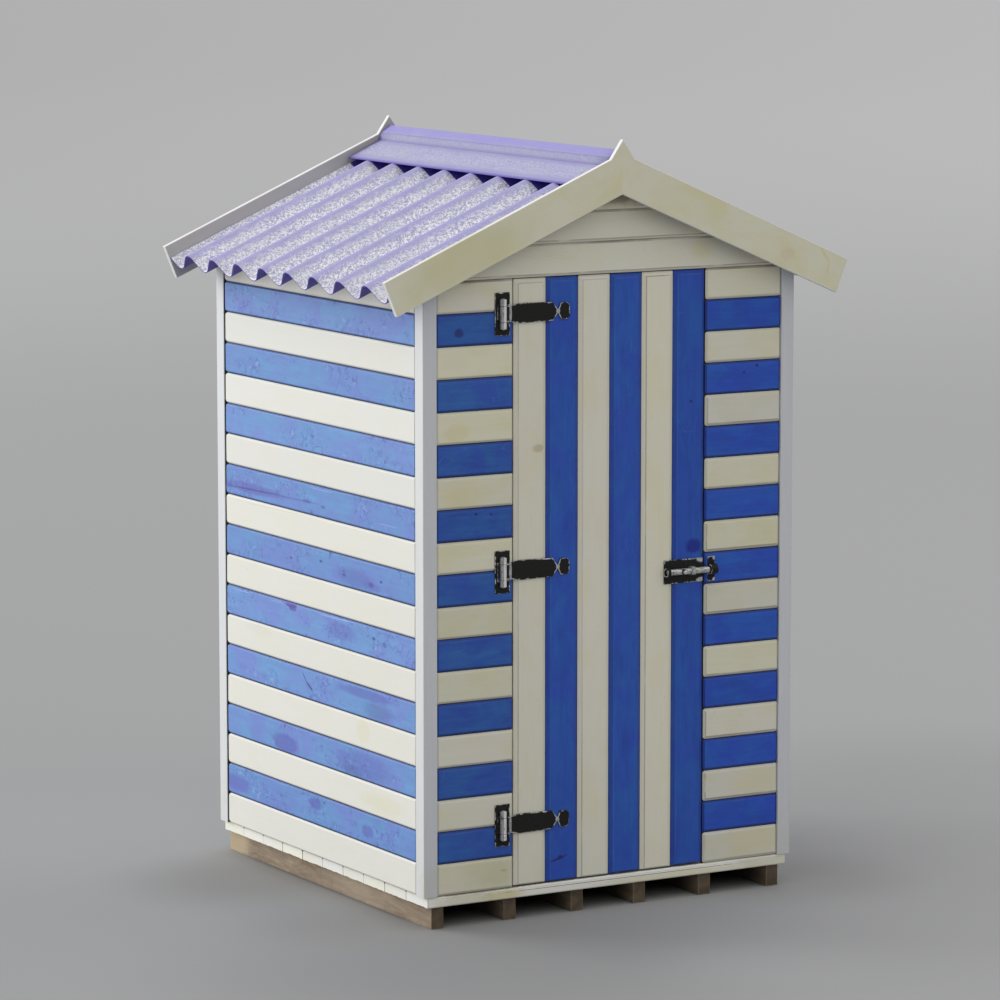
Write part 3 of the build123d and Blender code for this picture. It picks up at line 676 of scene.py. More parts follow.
def bare_timber(name, light=(0.50, 0.355, 0.205), dark=(0.28, 0.165, 0.085), use_grain=True, axis=None):
    n = Nodes(name)
    if use_grain:
        g = n.attr("grain").outputs["Vector"]
    else:
        g = n.stretch(n.obj, (1, 1, 1), rot={"x": (0, 0, 0), "y": (0, 0, math.pi / 2), "z": (0, math.pi / 2, 0)}[axis])
    rings = n.noise(n.stretch(g, (0.9, 11.0, 11.0)), 5.0, 4.0, 0.6, 1.6)
    fine = n.noise(n.stretch(g, (5.0, 120.0, 120.0)), 2.5, 3.0, 0.6)
    col = n.mix(n.remap(rings, 0.35, 0.66), light, dark)
    col = n.mix(n.remap(fine, 0.35, 0.7, 0.35, 0.0), col, tuple(c * 0.55 for c in dark))
    patch = n.noise(n.stretch(g, (1.0, 2.0, 2.0)), 2.0, 3.0)
    col = n.mix(n.remap(patch, 0.45, 0.75, 0.0, 0.35), col, tuple(min(1, c * 1.25) for c in light))
    # painted shade fills the joints
    e = n.attr("edge").outputs["Fac"]
    col = n.mix(n.math("MULTIPLY", edge_is(n, e, 3), 0.95), col, (0.016, 0.016, 0.020))
    n.set(base_color=col, roughness=n.remap(fine, 0.2, 0.8, 0.62, 0.78))
    n.put(n.bsdf.inputs["Normal"], n.bump(n.math("ADD", rings, fine), 0.4, 0.0008))
    return n.mat


def roof_paint(name, wave=True):
    n = Nodes(name)
    e = n.attr("edge").outputs["Fac"]
    g = n.obj
    violet = (0.355, 0.330, 0.63)
    painted_sheen = (0.58, 0.575, 0.69)
    deep = (0.115, 0.075, 0.46)
    cap_shade_navy = (0.026, 0.012, 0.27)
    slow = n.noise(g, 5.0, 4.0, 0.6, 0.6)
    if wave:
        # 0 on a crest, 1 in a hollow: the crests are violet under a speckled painted sheen, the hollows pale and
        #                              speckled, partly the sheet's grit and partly a painted reflection
        ph = n.attr("flank").outputs["Fac"]
        warp = n.math("MULTIPLY_ADD", n.noise(g, 26.0, 4.0, 0.65), 0.30, -0.15)
        flank = n.remap(n.math("ADD", ph, warp), 0.10, 0.46)
        col = n.mix(n.remap(slow, 0.35, 0.7), violet, (0.345, 0.325, 0.585))
        grit = n.noise(g, 140.0, 3.0, 0.75)
        grit2 = n.noise(n.stretch(g, (1, 1, 1), (3, 5, 7)), 210.0, 2.0, 0.6)
        clump = n.noise(n.stretch(g, (1, 1, 1), (8, 2, 5)), 95.0, 3.0, 0.7)
        speckle = n.math("ADD", n.math("MULTIPLY", grit2, 0.5), n.math("MULTIPLY", clump, 0.5))
        pale = n.mix(n.remap(speckle, 0.43, 0.55), (0.44, 0.44, 0.60), (1.0, 1.0, 1.0))
        pale = n.mix(n.remap(slow, 0.40, 0.62, 0.0, 0.3), pale, (0.72, 0.74, 0.76))
        pale_reflection_cover = n.math("MULTIPLY", flank, n.remap(grit, 0.34, 0.54, 0.45, 1.0))
        col = n.mix(pale_reflection_cover, col, pale)
        # painted sheen speckled over the crests
        dust_and_sheen = n.math("MULTIPLY", n.remap(grit, 0.50, 0.70, 0.0, 0.25), n.math("SUBTRACT", 1.0, flank))
        col = n.mix(dust_and_sheen, col, painted_sheen)
        height = n.math("MULTIPLY", n.math("ADD", grit, grit2), n.math("MULTIPLY_ADD", flank, 0.8, 0.2))
        # painted shade on the part under the cap, and on the underside
        col = n.mix(n.math("MULTIPLY", edge_is(n, e, 3), 0.97), col, cap_shade_navy)
        painted_shade_under = n.mix(n.remap(n.noise(g, 9.0, 4.0), 0.35, 0.65), (0.085, 0.055, 0.30), (0.12, 0.085, 0.36))
        col = n.mix(n.math("MULTIPLY", edge_is(n, e, 4), 0.97), col, painted_shade_under)
    else:
        grit = n.noise(g, 150.0, 3.0, 0.7)
        streak = n.noise(n.stretch(g, (3.0, 1.0, 3.0)), 7.0, 4.0, 0.6, 0.4)
        col = n.mix(n.remap(streak, 0.34, 0.66), (0.335, 0.325, 0.54), (0.300, 0.285, 0.55))
        # speckle over the middle of each wing, bare violet near its lower edge
        far = n.new("ShaderNodeSeparateXYZ")
        n.put(far.inputs[0], n.vmath("ABSOLUTE", g))
        mid = n.math("MULTIPLY", n.remap(far.outputs[0], 0.045, 0.075), n.remap(far.outputs[0], 0.150, 0.120))
        col = n.mix(n.math("MULTIPLY", mid, n.remap(grit, 0.46, 0.60, 0.05, 0.85)), col, (0.55, 0.55, 0.64))
        col = n.mix(n.remap(slow, 0.52, 0.70, 0.0, 0.25), col, (0.43, 0.42, 0.50))
        rubbed = n.noise(n.stretch(g, (2.0, 1.0, 2.0), (4, 1, 2)), 60.0, 4.0, 0.7)
        col = n.mix(n.math("MULTIPLY", n.remap(rubbed, 0.60, 0.72), 0.5), col, (0.22, 0.19, 0.44))
        # the folds
        fold = n.math("MULTIPLY", n.remap(n.math("ABSOLUTE", n.math("SUBTRACT", far.outputs[0], 0.044)), 0.0035, 0.0012), 0.75)
        col = n.mix(fold, col, (0.13, 0.10, 0.34))
        col = n.mix(n.math("MULTIPLY", n.remap(far.outputs[0], 0.150, 0.157), 0.75), col, (0.17, 0.12, 0.50))
        height = grit
    if not wave:
        # painted shade on the steep strip below the neck, which faces the lamp
        steep_shade = n.math("MULTIPLY", n.remap(far.outputs[0], 0.0315, 0.0335), n.remap(far.outputs[0], 0.047, 0.042))
        mottle = n.remap(n.noise(g, 120.0, 4.0, 0.75), 0.35, 0.65)
        col = n.mix(n.math("MULTIPLY", steep_shade, n.math("MULTIPLY_ADD", mottle, 0.35, 0.48)), col, (0.165, 0.160, 0.31))
        ridge = n.remap(far.outputs[0], 0.034, 0.022)
        col = n.mix(n.math("MULTIPLY", ridge, 0.55), col, (0.30, 0.265, 0.66))
        ends = n.remap(far.outputs[1], 0.716, 0.732)
        col = n.mix(n.math("MULTIPLY", ends, 0.75), col, (0.12, 0.09, 0.38))
    # rolled and cut edges show the deep violet of the sheet; the ridge cap's underside takes the same colour as painted
    # shade
    col = n.mix(n.math("MULTIPLY", edge_is(n, e, 2), 0.96), col, deep)
    col = n.mix(n.math("MULTIPLY", edge_is(n, e, 1), 0.88), col, (0.20, 0.16, 0.50))
    n.set(base_color=col, roughness=n.remap(height, 0.3, 0.9, 0.44, 0.62))
    n.put(n.bsdf.inputs["Normal"], n.bump(height, 0.5, 0.0012))
    return n.mat


def iron(name, bright=()):
    """Black paint, worn to bright metal along its edges (codes 1 and 2) and at the places given."""
    n = Nodes(name)
    e = n.attr("edge").outputs["Fac"]
    g = n.obj
    rub = n.noise(g, 62.0, 4.0, 0.65, 0.4)
    rub2 = n.noise(g, 190.0, 3.0, 0.6)
    on_edge = n.math("MULTIPLY", n.math("COMPARE", e, 1.0, 0.45), n.remap(rub, 0.45, 0.54))
    near = n.math("MULTIPLY", n.math("COMPARE", e, 2.0, 0.45), n.remap(rub, 0.53, 0.60))
    worn = n.math("MAXIMUM", on_edge, near)
    worn = n.math("MAXIMUM", worn, n.remap(n.noise(n.stretch(g, (1, 1, 1), (4, 1, 9)), 80.0, 5.0, 0.7), 0.68, 0.74, 0.0, 0.75))
    rims = n.math("MAXIMUM", n.math("COMPARE", e, 1.0, 0.45), n.math("COMPARE", e, 2.0, 0.45))
    for place, radii, amount, edged in bright:
        m = n.spot(place, radii, (0, 0, 0), 0.5, 0.25, 120.0)
        m = n.math("MULTIPLY", m, rims) if edged else m
        worn = n.math("MAXIMUM", worn, n.math("MULTIPLY", m, amount))
    body = n.mix(n.remap(rub2, 0.3, 0.7), (0.007, 0.008, 0.007), (0.019, 0.020, 0.017))
    col = n.mix(worn, body, n.mix(n.remap(rub2, 0.35, 0.65), (0.42, 0.42, 0.43), (0.80, 0.79, 0.78)))
    n.set(base_color=col, metallic=n.math("MULTIPLY", worn, 0.6), roughness=n.fmix(worn, n.remap(rub2, 0.2, 0.8, 0.42, 0.58), 0.36))
    n.put(n.bsdf.inputs["Specular IOR Level"], n.fmix(worn, 0.2, 0.5))
    n.put(n.bsdf.inputs["Normal"], n.bump(n.math("SUBTRACT", rub2, n.math("MULTIPLY", worn, 0.6)), 0.35, 0.0006))
    return n.mat


def steel(name, dirty=0.5, axis="z", light=(0.80, 0.80, 0.79), painted_highlight=None):
    """Dull steel with dark stains.  painted_highlight gives the side of the metal that a painted highlight lightens."""
    n = Nodes(name)
    g = n.obj
    scale = {"z": (1, 1, 0.25), "x": (0.25, 1, 1)}[axis]
    blotch = n.noise(n.stretch(g, scale), 210.0, 4.0, 0.7, 0.3)
    fine = n.noise(n.stretch(g, scale), 520.0, 3.0, 0.6)
    dark = n.remap(blotch, 0.44 + 0.2 * dirty, 0.30 + 0.16 * dirty)
    col = n.mix(fine, tuple(c * 0.7 for c in light), light)
    col = n.mix(n.math("MULTIPLY", dark, 0.85), col, (0.07, 0.07, 0.06))
    metal = n.fmix(dark, 0.75, 0.3)
    # a painted highlight on one side of the barrel
    if painted_highlight:
        m = n.remap(n.vmath("DOT_PRODUCT", n.vmath("SUBTRACT", g, painted_highlight[0]), painted_highlight[1]), painted_highlight[2], painted_highlight[3])
        m = n.math("MULTIPLY", m, n.remap(blotch, 0.30, 0.42))
        col = n.mix(n.math("MULTIPLY", m, 0.90), col, (0.86, 0.86, 0.86))
        metal = n.fmix(m, metal, 0.05)
    n.set(base_color=col, metallic=metal, roughness=n.fmix(dark, n.remap(fine, 0.2, 0.8, 0.30, 0.44), 0.62))
    n.put(n.bsdf.inputs["Normal"], n.bump(n.math("ADD", blotch, fine), 0.35, 0.0005))
    return n.mat


def bearer_wood(name):
    n = Nodes(name)
    g = n.attr("grain").outputs["Vector"]
    e = n.attr("edge").outputs["Fac"]
    rings = n.noise(n.stretch(g, (1.1, 6.0, 6.0)), 5.0, 5.0, 0.62, 1.4)
    patch = n.noise(n.stretch(g, (1.0, 2.4, 2.4), (2, 5, 1)), 6.0, 4.0, 0.6, 0.6)
    fine = n.noise(n.stretch(g, (5.0, 80.0, 80.0)), 2.0, 4.0, 0.6)
    col = n.mix(n.remap(rings, 0.36, 0.66), (0.365, 0.275, 0.185), (0.26, 0.19, 0.125))
    col = n.mix(n.remap(patch, 0.52, 0.72, 0.0, 0.65), col, (0.46, 0.37, 0.25))
    col = n.mix(n.remap(patch, 0.46, 0.30, 0.0, 0.5), col, (0.20, 0.138, 0.09))
    col = n.mix(n.remap(fine, 0.35, 0.7, 0.35, 0.0), col, (0.105, 0.074, 0.046))
    col = n.mix(n.math("MULTIPLY", edge_is(n, e, 1), 0.35), col, (0.34, 0.28, 0.19))
    # cleaner, sandy wood towards the back end and in one long patch of the side
    sandy = n.spot((-0.6405, 0.66, 0.035), (0.03, 0.10, 0.060), (0, 0, 0), 0.9, 0.35, 30.0)
    col = n.mix(n.math("MULTIPLY", sandy, 0.64), col, (0.60, 0.475, 0.295))
    rubbed = n.spot((-0.6405, -0.21, 0.035), (0.03, 0.21, 0.045), (0, 0, 0), 1.0, 0.45, 25.0)
    col = n.mix(n.math("MULTIPLY", rubbed, 0.42), col, (0.46, 0.365, 0.265))
    # the sawn ends are darker
    col = n.mix(n.math("MULTIPLY", edge_is(n, e, 4), 0.84), col, n.mix(n.remap(patch, 0.4, 0.6), (0.052, 0.036, 0.019), (0.094, 0.068, 0.038)))
    # painted shade under the floor: darker behind the front ends
    away = n.new("ShaderNodeSeparateXYZ")
    n.put(away.inputs[0], n.vmath("ABSOLUTE", n.obj))
    deep = n.math("MULTIPLY", n.remap(away.outputs[0], 0.634, 0.625), n.remap(away.outputs[1], 0.697, 0.560, 0.35, 0.93))
    col = n.mix(n.math("MULTIPLY", deep, n.math("SUBTRACT", 1.0, edge_is(n, e, 4))), col, (0.030, 0.024, 0.018))
    n.set(base_color=col, roughness=n.remap(fine, 0.2, 0.8, 0.66, 0.80))
    n.put(n.bsdf.inputs["Normal"], n.bump(n.math("ADD", rings, fine), 0.5, 0.0012))
    return n.mat


# --------------------------------------------------------------------------
# stains, and a few marks of painted shade, read off as places on the walls (metres)
# --------------------------------------------------------------------------
VIOLET = (0.085, 0.075, 0.44)
INK = (0.018, 0.024, 0.15)
SKY = (0.30, 0.46, 0.80)
YELLOW = (0.74, 0.67, 0.34)
OCHRE = (0.50, 0.40, 0.22)
OLIVE = (0.56, 0.55, 0.30)
SOOT_AND_SHADE = (0.10, 0.085, 0.06)
ROSE = (0.70, 0.58, 0.42)

LEFT_X = -0.673
FRONT_Y = -0.6955


def on_left(y, z, ry, rz, tilt=0.0):
    return (LEFT_X, y, z), (0.02, ry, rz), (math.radians(tilt), 0, 0)


def on_front(x, z, rx, rz, tilt=0.0):
    return (x, FRONT_Y, z), (rx, 0.03, rz), (0, math.radians(tilt), 0)


def on_barge(x, z, rx, rz, tilt=0.0):
    return (x, -0.757, z), (rx, 0.015, rz), (0, math.radians(tilt), 0)


def add_mark(group, where, colour, amount=0.6, soft=0.5, ragged=0.35, scale=60.0):
    group.append((*where, colour, amount, soft, ragged, scale))


cream_side_stains = []
blue_side_stains = []
cream_front_stains = []
blue_front_stains = []
cream_door_stains = []
blue_door_stains = []
gable_stains_and_shade = []
barge_stains = []
floor_stains_and_shade = []

add_mark(cream_side_stains, on_left(-0.3017, 0.5663, 0.0397, 0.0384), YELLOW, 0.3, 0.9, 0.4, 50.0)
add_mark(cream_side_stains, on_left(-0.4248, 0.3542, 0.1306, 0.0287), YELLOW, 0.28, 0.9, 0.4, 50.0)
add_mark(cream_side_stains, on_left(0.1757, 1.2027, 0.3639, 0.0016, 1.1), ROSE, 0.35, 0.5, 0.3, 60.0)
add_mark(cream_side_stains, on_left(0.4168, 0.7912, 0.0859, 0.0199), ROSE, 0.14, 1.0, 0.3, 40.0)
add_mark(blue_side_stains, on_left(0.2271, 0.4404, 0.0844, 0.0298), VIOLET, 0.61, 0.48, 0.35, 60.0)
add_mark(blue_side_stains, on_left(0.4526, 1.2471, 0.2148, 0.0165), VIOLET, 0.51, 0.64, 0.35, 40.0)
add_mark(blue_side_stains, on_left(0.4260, 1.2446, 0.1854, 0.0032, 1.4), INK, 0.55, 0.6, 0.35, 80.0)
add_mark(blue_side_stains, on_left(0.1168, 1.2496, 0.1239, 0.0022, 0.9), INK, 0.35, 0.6, 0.4, 80.0)
add_mark(blue_side_stains, on_left(-0.0410, 1.2461, 0.0149, 0.0051), INK, 0.5, 0.5, 0.4, 120.0)
add_mark(blue_side_stains, on_left(0.0678, 1.2522, 0.0274, 0.0058), VIOLET, 0.68, 0.40, 0.4, 120.0)
add_mark(blue_side_stains, on_left(-0.0255, 1.0708, 0.0102, 0.0048), INK, 0.7, 0.6, 0.3, 140.0)
add_mark(blue_side_stains, on_left(-0.1799, 1.0480, 0.0113, 0.0054), INK, 0.7, 0.6, 0.3, 140.0)
add_mark(blue_side_stains, on_left(-0.3581, 1.0387, 0.0157, 0.0076), INK, 0.7, 0.6, 0.3, 140.0)
add_mark(blue_side_stains, on_left(-0.4233, 1.0570, 0.0091, 0.0044), INK, 0.7, 0.6, 0.3, 140.0)
add_mark(blue_side_stains, on_left(0.1806, 1.0551, 0.0083, 0.0039), INK, 0.7, 0.6, 0.3, 140.0)
add_mark(blue_side_stains, on_left(-0.1800, 1.0592, 0.0067, 0.0032), INK, 0.7, 0.6, 0.3, 140.0)
add_mark(blue_side_stains, on_left(-0.0867, 1.1045, 0.0061, 0.0029), INK, 0.7, 0.6, 0.3, 140.0)
add_mark(blue_side_stains, on_left(-0.2530, 1.0467, 0.1192, 0.0286), VIOLET, 0.43, 0.80, 0.4, 40.0)
add_mark(blue_side_stains, on_left(-0.3645, 1.0333, 0.0588, 0.0126), VIOLET, 0.34, 0.64, 0.5, 60.0)
add_mark(blue_side_stains, on_left(0.1826, 0.9016, 0.0383, 0.0098), VIOLET, 0.95, 0.40, 0.25, 60.0)
add_mark(blue_side_stains, on_left(0.1700, 0.8930, 0.0260, 0.0100), (0.09, 0.05, 0.30), 0.75, 0.7, 0.3, 70.0)
add_mark(blue_side_stains, on_left(0.5412, 0.8987, 0.0760, 0.0016, 0.7), SKY, 0.95, 0.32, 0.2, 60.0)
add_mark(blue_side_stains, on_left(0.2772, 0.8983, 0.0527, 0.0013, 0.8), SKY, 0.74, 0.32, 0.3, 60.0)
add_mark(blue_side_stains, on_left(-0.1241, 0.9007, 0.1210, 0.0018, 1.1), SKY, 0.95, 0.32, 0.2, 60.0)
add_mark(blue_side_stains, on_left(-0.3762, 0.8547, 0.0251, 0.0022, -83.0), VIOLET, 0.81, 0.32, 0.2, 60.0)
add_mark(blue_side_stains, on_left(-0.3751, 0.8719, 0.0105, 0.0051), INK, 0.7, 0.5, 0.2, 120.0)
add_mark(blue_side_stains, on_left(-0.4446, 0.8615, 0.0143, 0.0082), INK, 0.45, 0.7, 0.4, 120.0)
add_mark(blue_side_stains, on_left(-0.1715, 0.8630, 0.0937, 0.0257), VIOLET, 0.35, 0.80, 0.4, 40.0)
add_mark(blue_side_stains, on_left(0.0909, 0.6777, 0.0228, 0.0024, -45.5), INK, 0.75, 0.4, 0.2, 60.0)
add_mark(blue_side_stains, on_left(0.0595, 0.6549, 0.0252, 0.0042, -28.5), INK, 0.8, 0.4, 0.2, 60.0)
add_mark(blue_side_stains, on_left(-0.3159, 0.6867, 0.1714, 0.0160), VIOLET, 0.47, 0.64, 0.4, 40.0)
add_mark(blue_side_stains, on_left(-0.4007, 0.6428, 0.0914, 0.0254), INK, 0.28, 0.9, 0.6, 110.0)
add_mark(blue_side_stains, on_left(-0.2942, 0.4530, 0.1789, 0.0417), VIOLET, 0.38, 0.72, 0.5, 60.0)
add_mark(blue_side_stains, on_left(-0.2275, 0.4288, 0.0534, 0.0161), INK, 0.22, 0.7, 0.6, 120.0)
add_mark(blue_side_stains, on_left(0.0209, 0.2769, 0.0447, 0.0180), VIOLET, 0.57, 0.56, 0.5, 90.0)
add_mark(blue_side_stains, on_left(-0.3288, 0.2506, 0.0364, 0.0193), VIOLET, 0.54, 0.56, 0.5, 90.0)
add_mark(blue_side_stains, on_left(0.5698, 0.2490, 0.0878, 0.0270), VIOLET, 0.47, 0.72, 0.3, 40.0)
add_mark(blue_side_stains, on_left(-0.1492, 1.6604, 0.0481, 0.0016, 60.5), INK, 0.45, 0.5, 0.35, 120.0)
add_mark(blue_side_stains, on_left(-0.5586, 1.6497, 0.0332, 0.0016, -61.8), INK, 0.45, 0.5, 0.35, 120.0)
add_mark(blue_side_stains, on_left(-0.0311, 1.2994, 0.0778, 0.0015), SKY, 0.68, 0.40, 0.4, 80.0)
add_mark(blue_side_stains, on_left(-0.4695, 1.2403, 0.0644, 0.0016), SKY, 0.61, 0.40, 0.4, 80.0)
add_mark(cream_front_stains, on_front(-0.5568, 1.5459, 0.0422, 0.0277), YELLOW, 0.42, 0.8, 0.45, 50.0)
add_mark(cream_front_stains, on_front(-0.5377, 1.3594, 0.0846, 0.0402), YELLOW, 0.34, 0.9, 0.45, 50.0)
add_mark(cream_front_stains, on_front(-0.4350, 0.1600, 0.0950, 0.0440), OLIVE, 0.28, 1.0, 0.45, 40.0)
add_mark(cream_front_stains, on_front(-0.4100, 0.1500, 0.0420, 0.0400), OLIVE, 0.20, 1.0, 0.45, 40.0)
add_mark(cream_front_stains, on_front(-0.3887, 0.1635, 0.0120, 0.0040), OLIVE, 0.9, 0.6, 0.3, 120.0)
add_mark(cream_front_stains, on_front(-0.5193, 2.0074, 0.0281, 0.0080), SOOT_AND_SHADE, 0.2, 0.9, 0.5, 100.0)
add_mark(cream_front_stains, on_front(0.5450, 0.1580, 0.1000, 0.0420), YELLOW, 0.38, 1.0, 0.45, 40.0)
add_mark(cream_front_stains, on_front(0.5500, 0.3600, 0.1000, 0.0420), YELLOW, 0.34, 1.0, 0.45, 40.0)
add_mark(blue_front_stains, on_front(-0.5476, 1.8527, 0.0158, 0.0138), INK, 0.75, 0.6, 0.45, 110.0)
add_mark(blue_front_stains, on_front(-0.4883, 1.2908, 0.0057, 0.0047), INK, 0.8, 0.5, 0.2, 120.0)
add_mark(blue_front_stains, on_front(-0.4351, 1.2871, 0.0050, 0.0044), INK, 0.75, 0.5, 0.2, 120.0)
add_mark(blue_front_stains, on_front(0.5377, 1.6947, 0.0060, 0.0051), INK, 0.8, 0.5, 0.3, 120.0)
add_mark(blue_front_stains, on_front(0.4889, 1.6751, 0.0049, 0.0041), INK, 0.8, 0.5, 0.3, 120.0)
add_mark(cream_door_stains, on_front(-0.2674, 1.4811, 0.0197, 0.0125), OCHRE, 0.55, 0.7, 0.4, 90.0)
add_mark(blue_door_stains, on_front(0.2911, 1.5944, 0.0060, 0.0051), INK, 0.8, 0.5, 0.3, 120.0)
add_mark(blue_door_stains, on_front(0.3045, 1.1340, 0.0290, 0.0230), (0.010, 0.020, 0.27), 0.85, 0.6, 0.3, 60.0)
add_mark(blue_door_stains, on_front(-0.1893, 0.1800, 0.0300, 0.0035, 16.0), INK, 0.9, 0.5, 0.4, 90.0)
add_mark(blue_door_stains, on_front(-0.1850, 0.1830, 0.0090, 0.0070), INK, 0.8, 0.6, 0.4, 110.0)
add_mark(gable_stains_and_shade, on_front(0.3263, 2.0661, 0.0340, 0.0260), YELLOW, 0.45, 0.9, 0.4, 60.0)
# painted shade under the bargeboards at the apex
add_mark(gable_stains_and_shade, on_front(0.0, 2.2570, 0.1300, 0.0300), (0.30, 0.27, 0.19), 0.80, 1.0, 0.35, 40.0)
add_mark(barge_stains, on_barge(0.7515, 2.0409, 0.0264, 0.0050, -54.0), YELLOW, 0.65, 0.6, 0.35, 70.0)
add_mark(barge_stains, on_barge(0.7634, 1.9991, 0.0208, 0.0050, 80.1), YELLOW, 0.6, 0.6, 0.35, 70.0)
add_mark(barge_stains, on_barge(-0.5450, 2.0900, 0.2100, 0.0700, 23.3), (0.66, 0.63, 0.37), 0.60, 1.0, 0.35, 12.0)
add_mark(barge_stains, on_barge(0.6111, 2.0486, 0.0264, 0.0190), ROSE, 0.4, 0.8, 0.4, 60.0)
add_mark(floor_stains_and_shade, on_front(-0.3917, 0.0841, 0.0700, 0.0150), YELLOW, 0.75, 0.9, 0.45, 60.0)
add_mark(floor_stains_and_shade, on_front(-0.5200, 0.0880, 0.0900, 0.0250), OLIVE, 0.42, 1.0, 0.45, 50.0)
add_mark(floor_stains_and_shade, on_front(0.5800, 0.0880, 0.1100, 0.0250), OLIVE, 0.38, 1.0, 0.45, 50.0)
for k in range(1, 10):
    # painted shade in the small hollow at the top of each joint, where the side wall stands on the boards
    add_mark(floor_stains_and_shade, ((-0.661, -0.6945 + 0.13865 * k, 0.1018), (0.012, 0.0048, 0.0042), (0, 0, 0)), (0.020, 0.018, 0.014), 0.88, 0.6, 0.35, 160.0)
add_mark(floor_stains_and_shade, on_front(0.05, 0.0915, 0.46, 0.0012), SOOT_AND_SHADE, 0.75, 0.4, 0.35, 60.0)
# painted shadow under the bottom edge of the wall
add_mark(floor_stains_and_shade, on_front(-0.48, 0.1035, 0.16, 0.0022), SOOT_AND_SHADE, 0.65, 0.7, 0.6, 90.0)
add_mark(floor_stains_and_shade, on_front(0.25, 0.0800, 0.30, 0.0100), YELLOW, 0.40, 1.0, 0.5, 30.0)


# --------------------------------------------------------------------------
# camera first, then the pieces
# --------------------------------------------------------------------------
cam_data = bpy.data.cameras.new("camera")
cam = bpy.data.objects.new("camera", cam_data)
scene.collection.objects.link(cam)
cam.location = (-7.682, -13.268, 3.345)
cam.rotation_euler = (math.radians(82.10), 0.0, -0.5248)
cam_data.lens = 171.4
cam_data.sensor_width = 36.0
cam_data.clip_start = 0.1
cam_data.clip_end = 1000.0
scene.camera = cam

# the left side and the back take paler, lit copies of the wall paints with a painted sheen; the front and the right
# side take the shaded copies
SIDE_SHADE_DOTS = (0.1082, 0.10024, 0.6405)
LIT_CREAM = dict(base=(0.825, 0.818, 0.745), yellow=(0.82, 0.803, 0.69), pink=(0.84, 0.808, 0.725), gap=(0.018, 0.026, 0.09), shade_dots=SIDE_SHADE_DOTS)
LIT_BLUE = dict(shade_dots=SIDE_SHADE_DOTS, marks=1.0, teal=(0.140, 0.345, 0.69), violet=(0.170, 0.262, 0.69), dark=(0.12, 0.24, 0.61), light=(0.21, 0.44, 0.78), specular=0.5, rough=0.6)
mat_cream_side = paint_cream("cream_side", cream_side_stains, patchy=0.6, streak=0.4, lines=0.5, tint=0.4, **LIT_CREAM)
mat_blue_side = paint_blue("blue_side", blue_side_stains, lines=0.3, **LIT_BLUE)
mat_cream_back = paint_cream("cream_back", (), patchy=0.6, streak=0.4, lines=0.5, tint=0.4, **dict(LIT_CREAM, shade_dots=None))
mat_blue_back = paint_blue("blue_back", (), lines=0.3, **dict(LIT_BLUE, shade_dots=None))
mat_cream_front = paint_cream("cream_front", cream_front_stains, tint=1.5, lap_shade_heights=(2.0118,))
mat_blue_front = paint_blue("blue_front", blue_front_stains, lines=0.15)
mat_blue_left = paint_blue("blue_left", blue_front_stains, lines=0.15, teal=(0.034, 0.148, 0.47), violet=(0.034, 0.105, 0.48))
mat_blue_right = paint_blue("blue_right", blue_front_stains, lines=0.15, teal=(0.022, 0.122, 0.57), violet=(0.024, 0.084, 0.57))
mat_cream_door = paint_cream("cream_door", cream_door_stains, even_lines=True, patchy=0.8, chamfer_shade=0.12, base=(0.83, 0.81, 0.675), yellow=(0.81, 0.775, 0.57), pink=(0.84, 0.795, 0.69))
mat_blue_door = paint_blue("blue_door", blue_door_stains, even_lines=True, lines=0.2, chamfer_shade=0.30, teal=(0.023, 0.124, 0.52), violet=(0.027, 0.090, 0.53))
mat_cream_gable = paint_cream("cream_gable", gable_stains_and_shade, streak=0.8, lap_shade_heights=(2.1133, 2.2098), base=(0.845, 0.825, 0.66), yellow=(0.825, 0.785, 0.545), pink=(0.855, 0.81, 0.67))
# bargeboards: a whiter painted highlight on the sides and arrises, a grey painted shade on the inner face
mat_barge = paint_cream("barge_cream", barge_stains, streak=0.6, base=(0.80, 0.78, 0.61), yellow=(0.77, 0.735, 0.48), side=(0.88, 0.87, 0.84), inner=(0.46, 0.455, 0.45))
mat_floor = paint_cream("floor_white", floor_stains_and_shade, base=(0.95, 0.94, 0.855), yellow=(0.94, 0.92, 0.78), pink=(0.95, 0.93, 0.855), streak=0.45)
mat_white = paint_white("post_white")
mat_wood = bare_timber("bare_timber")
mat_wood_x = bare_timber("bare_timber_x", use_grain=False, axis="x")
mat_wood_y = bare_timber("bare_timber_y", use_grain=False, axis="y")
mat_wood_z = bare_timber("bare_timber_z", use_grain=False, axis="z")
mat_bearer = bearer_wood("bearer_timber")
mat_roof = roof_paint("roof_sheet", True)
mat_cap = roof_paint("ridge_cap", False)
iron_bright = []
for z, up in ((0.307, 0.0), (1.104, 0.002), (1.904, 0.0)):
    iron_bright.append(((-0.198, -0.700, z + up), (0.020, 0.02, 0.021), 0.95, True))
    iron_bright.append(((-0.198, -0.700, z + up), (0.0065, 0.02, 0.0070), 0.85, False))
    iron_bright.append(((-0.3685, -0.703, z), (0.0045, 0.02, 0.034), 0.95, False))
for s in (-1, 1):
    iron_bright.append(((0.333, -0.698, 1.057 + 0.034 * s), (0.019, 0.02, 0.0095), 0.9, False))
    iron_bright.append(((0.380, -0.698, 1.057 + 0.036 * s), (0.007, 0.02, 0.008), 0.9, False))
    iron_bright.append(((0.382, -0.700, 1.057 + 0.010 * s), (0.005, 0.02, 0.005), 0.9, False))
mat_iron = iron("black_iron", iron_bright)
mat_steel = steel("worn_steel", 0.35, "z")
mat_barrel = steel("barrel_steel", 0.40, "z", light=(0.60, 0.60, 0.60), painted_highlight=((-0.398, -0.7065, 0.0), (0.865, -0.501, 0.0), 0.0018, 0.0036))
mat_bolt = steel("bolt_steel", 0.50, "x", light=(0.74, 0.74, 0.70))
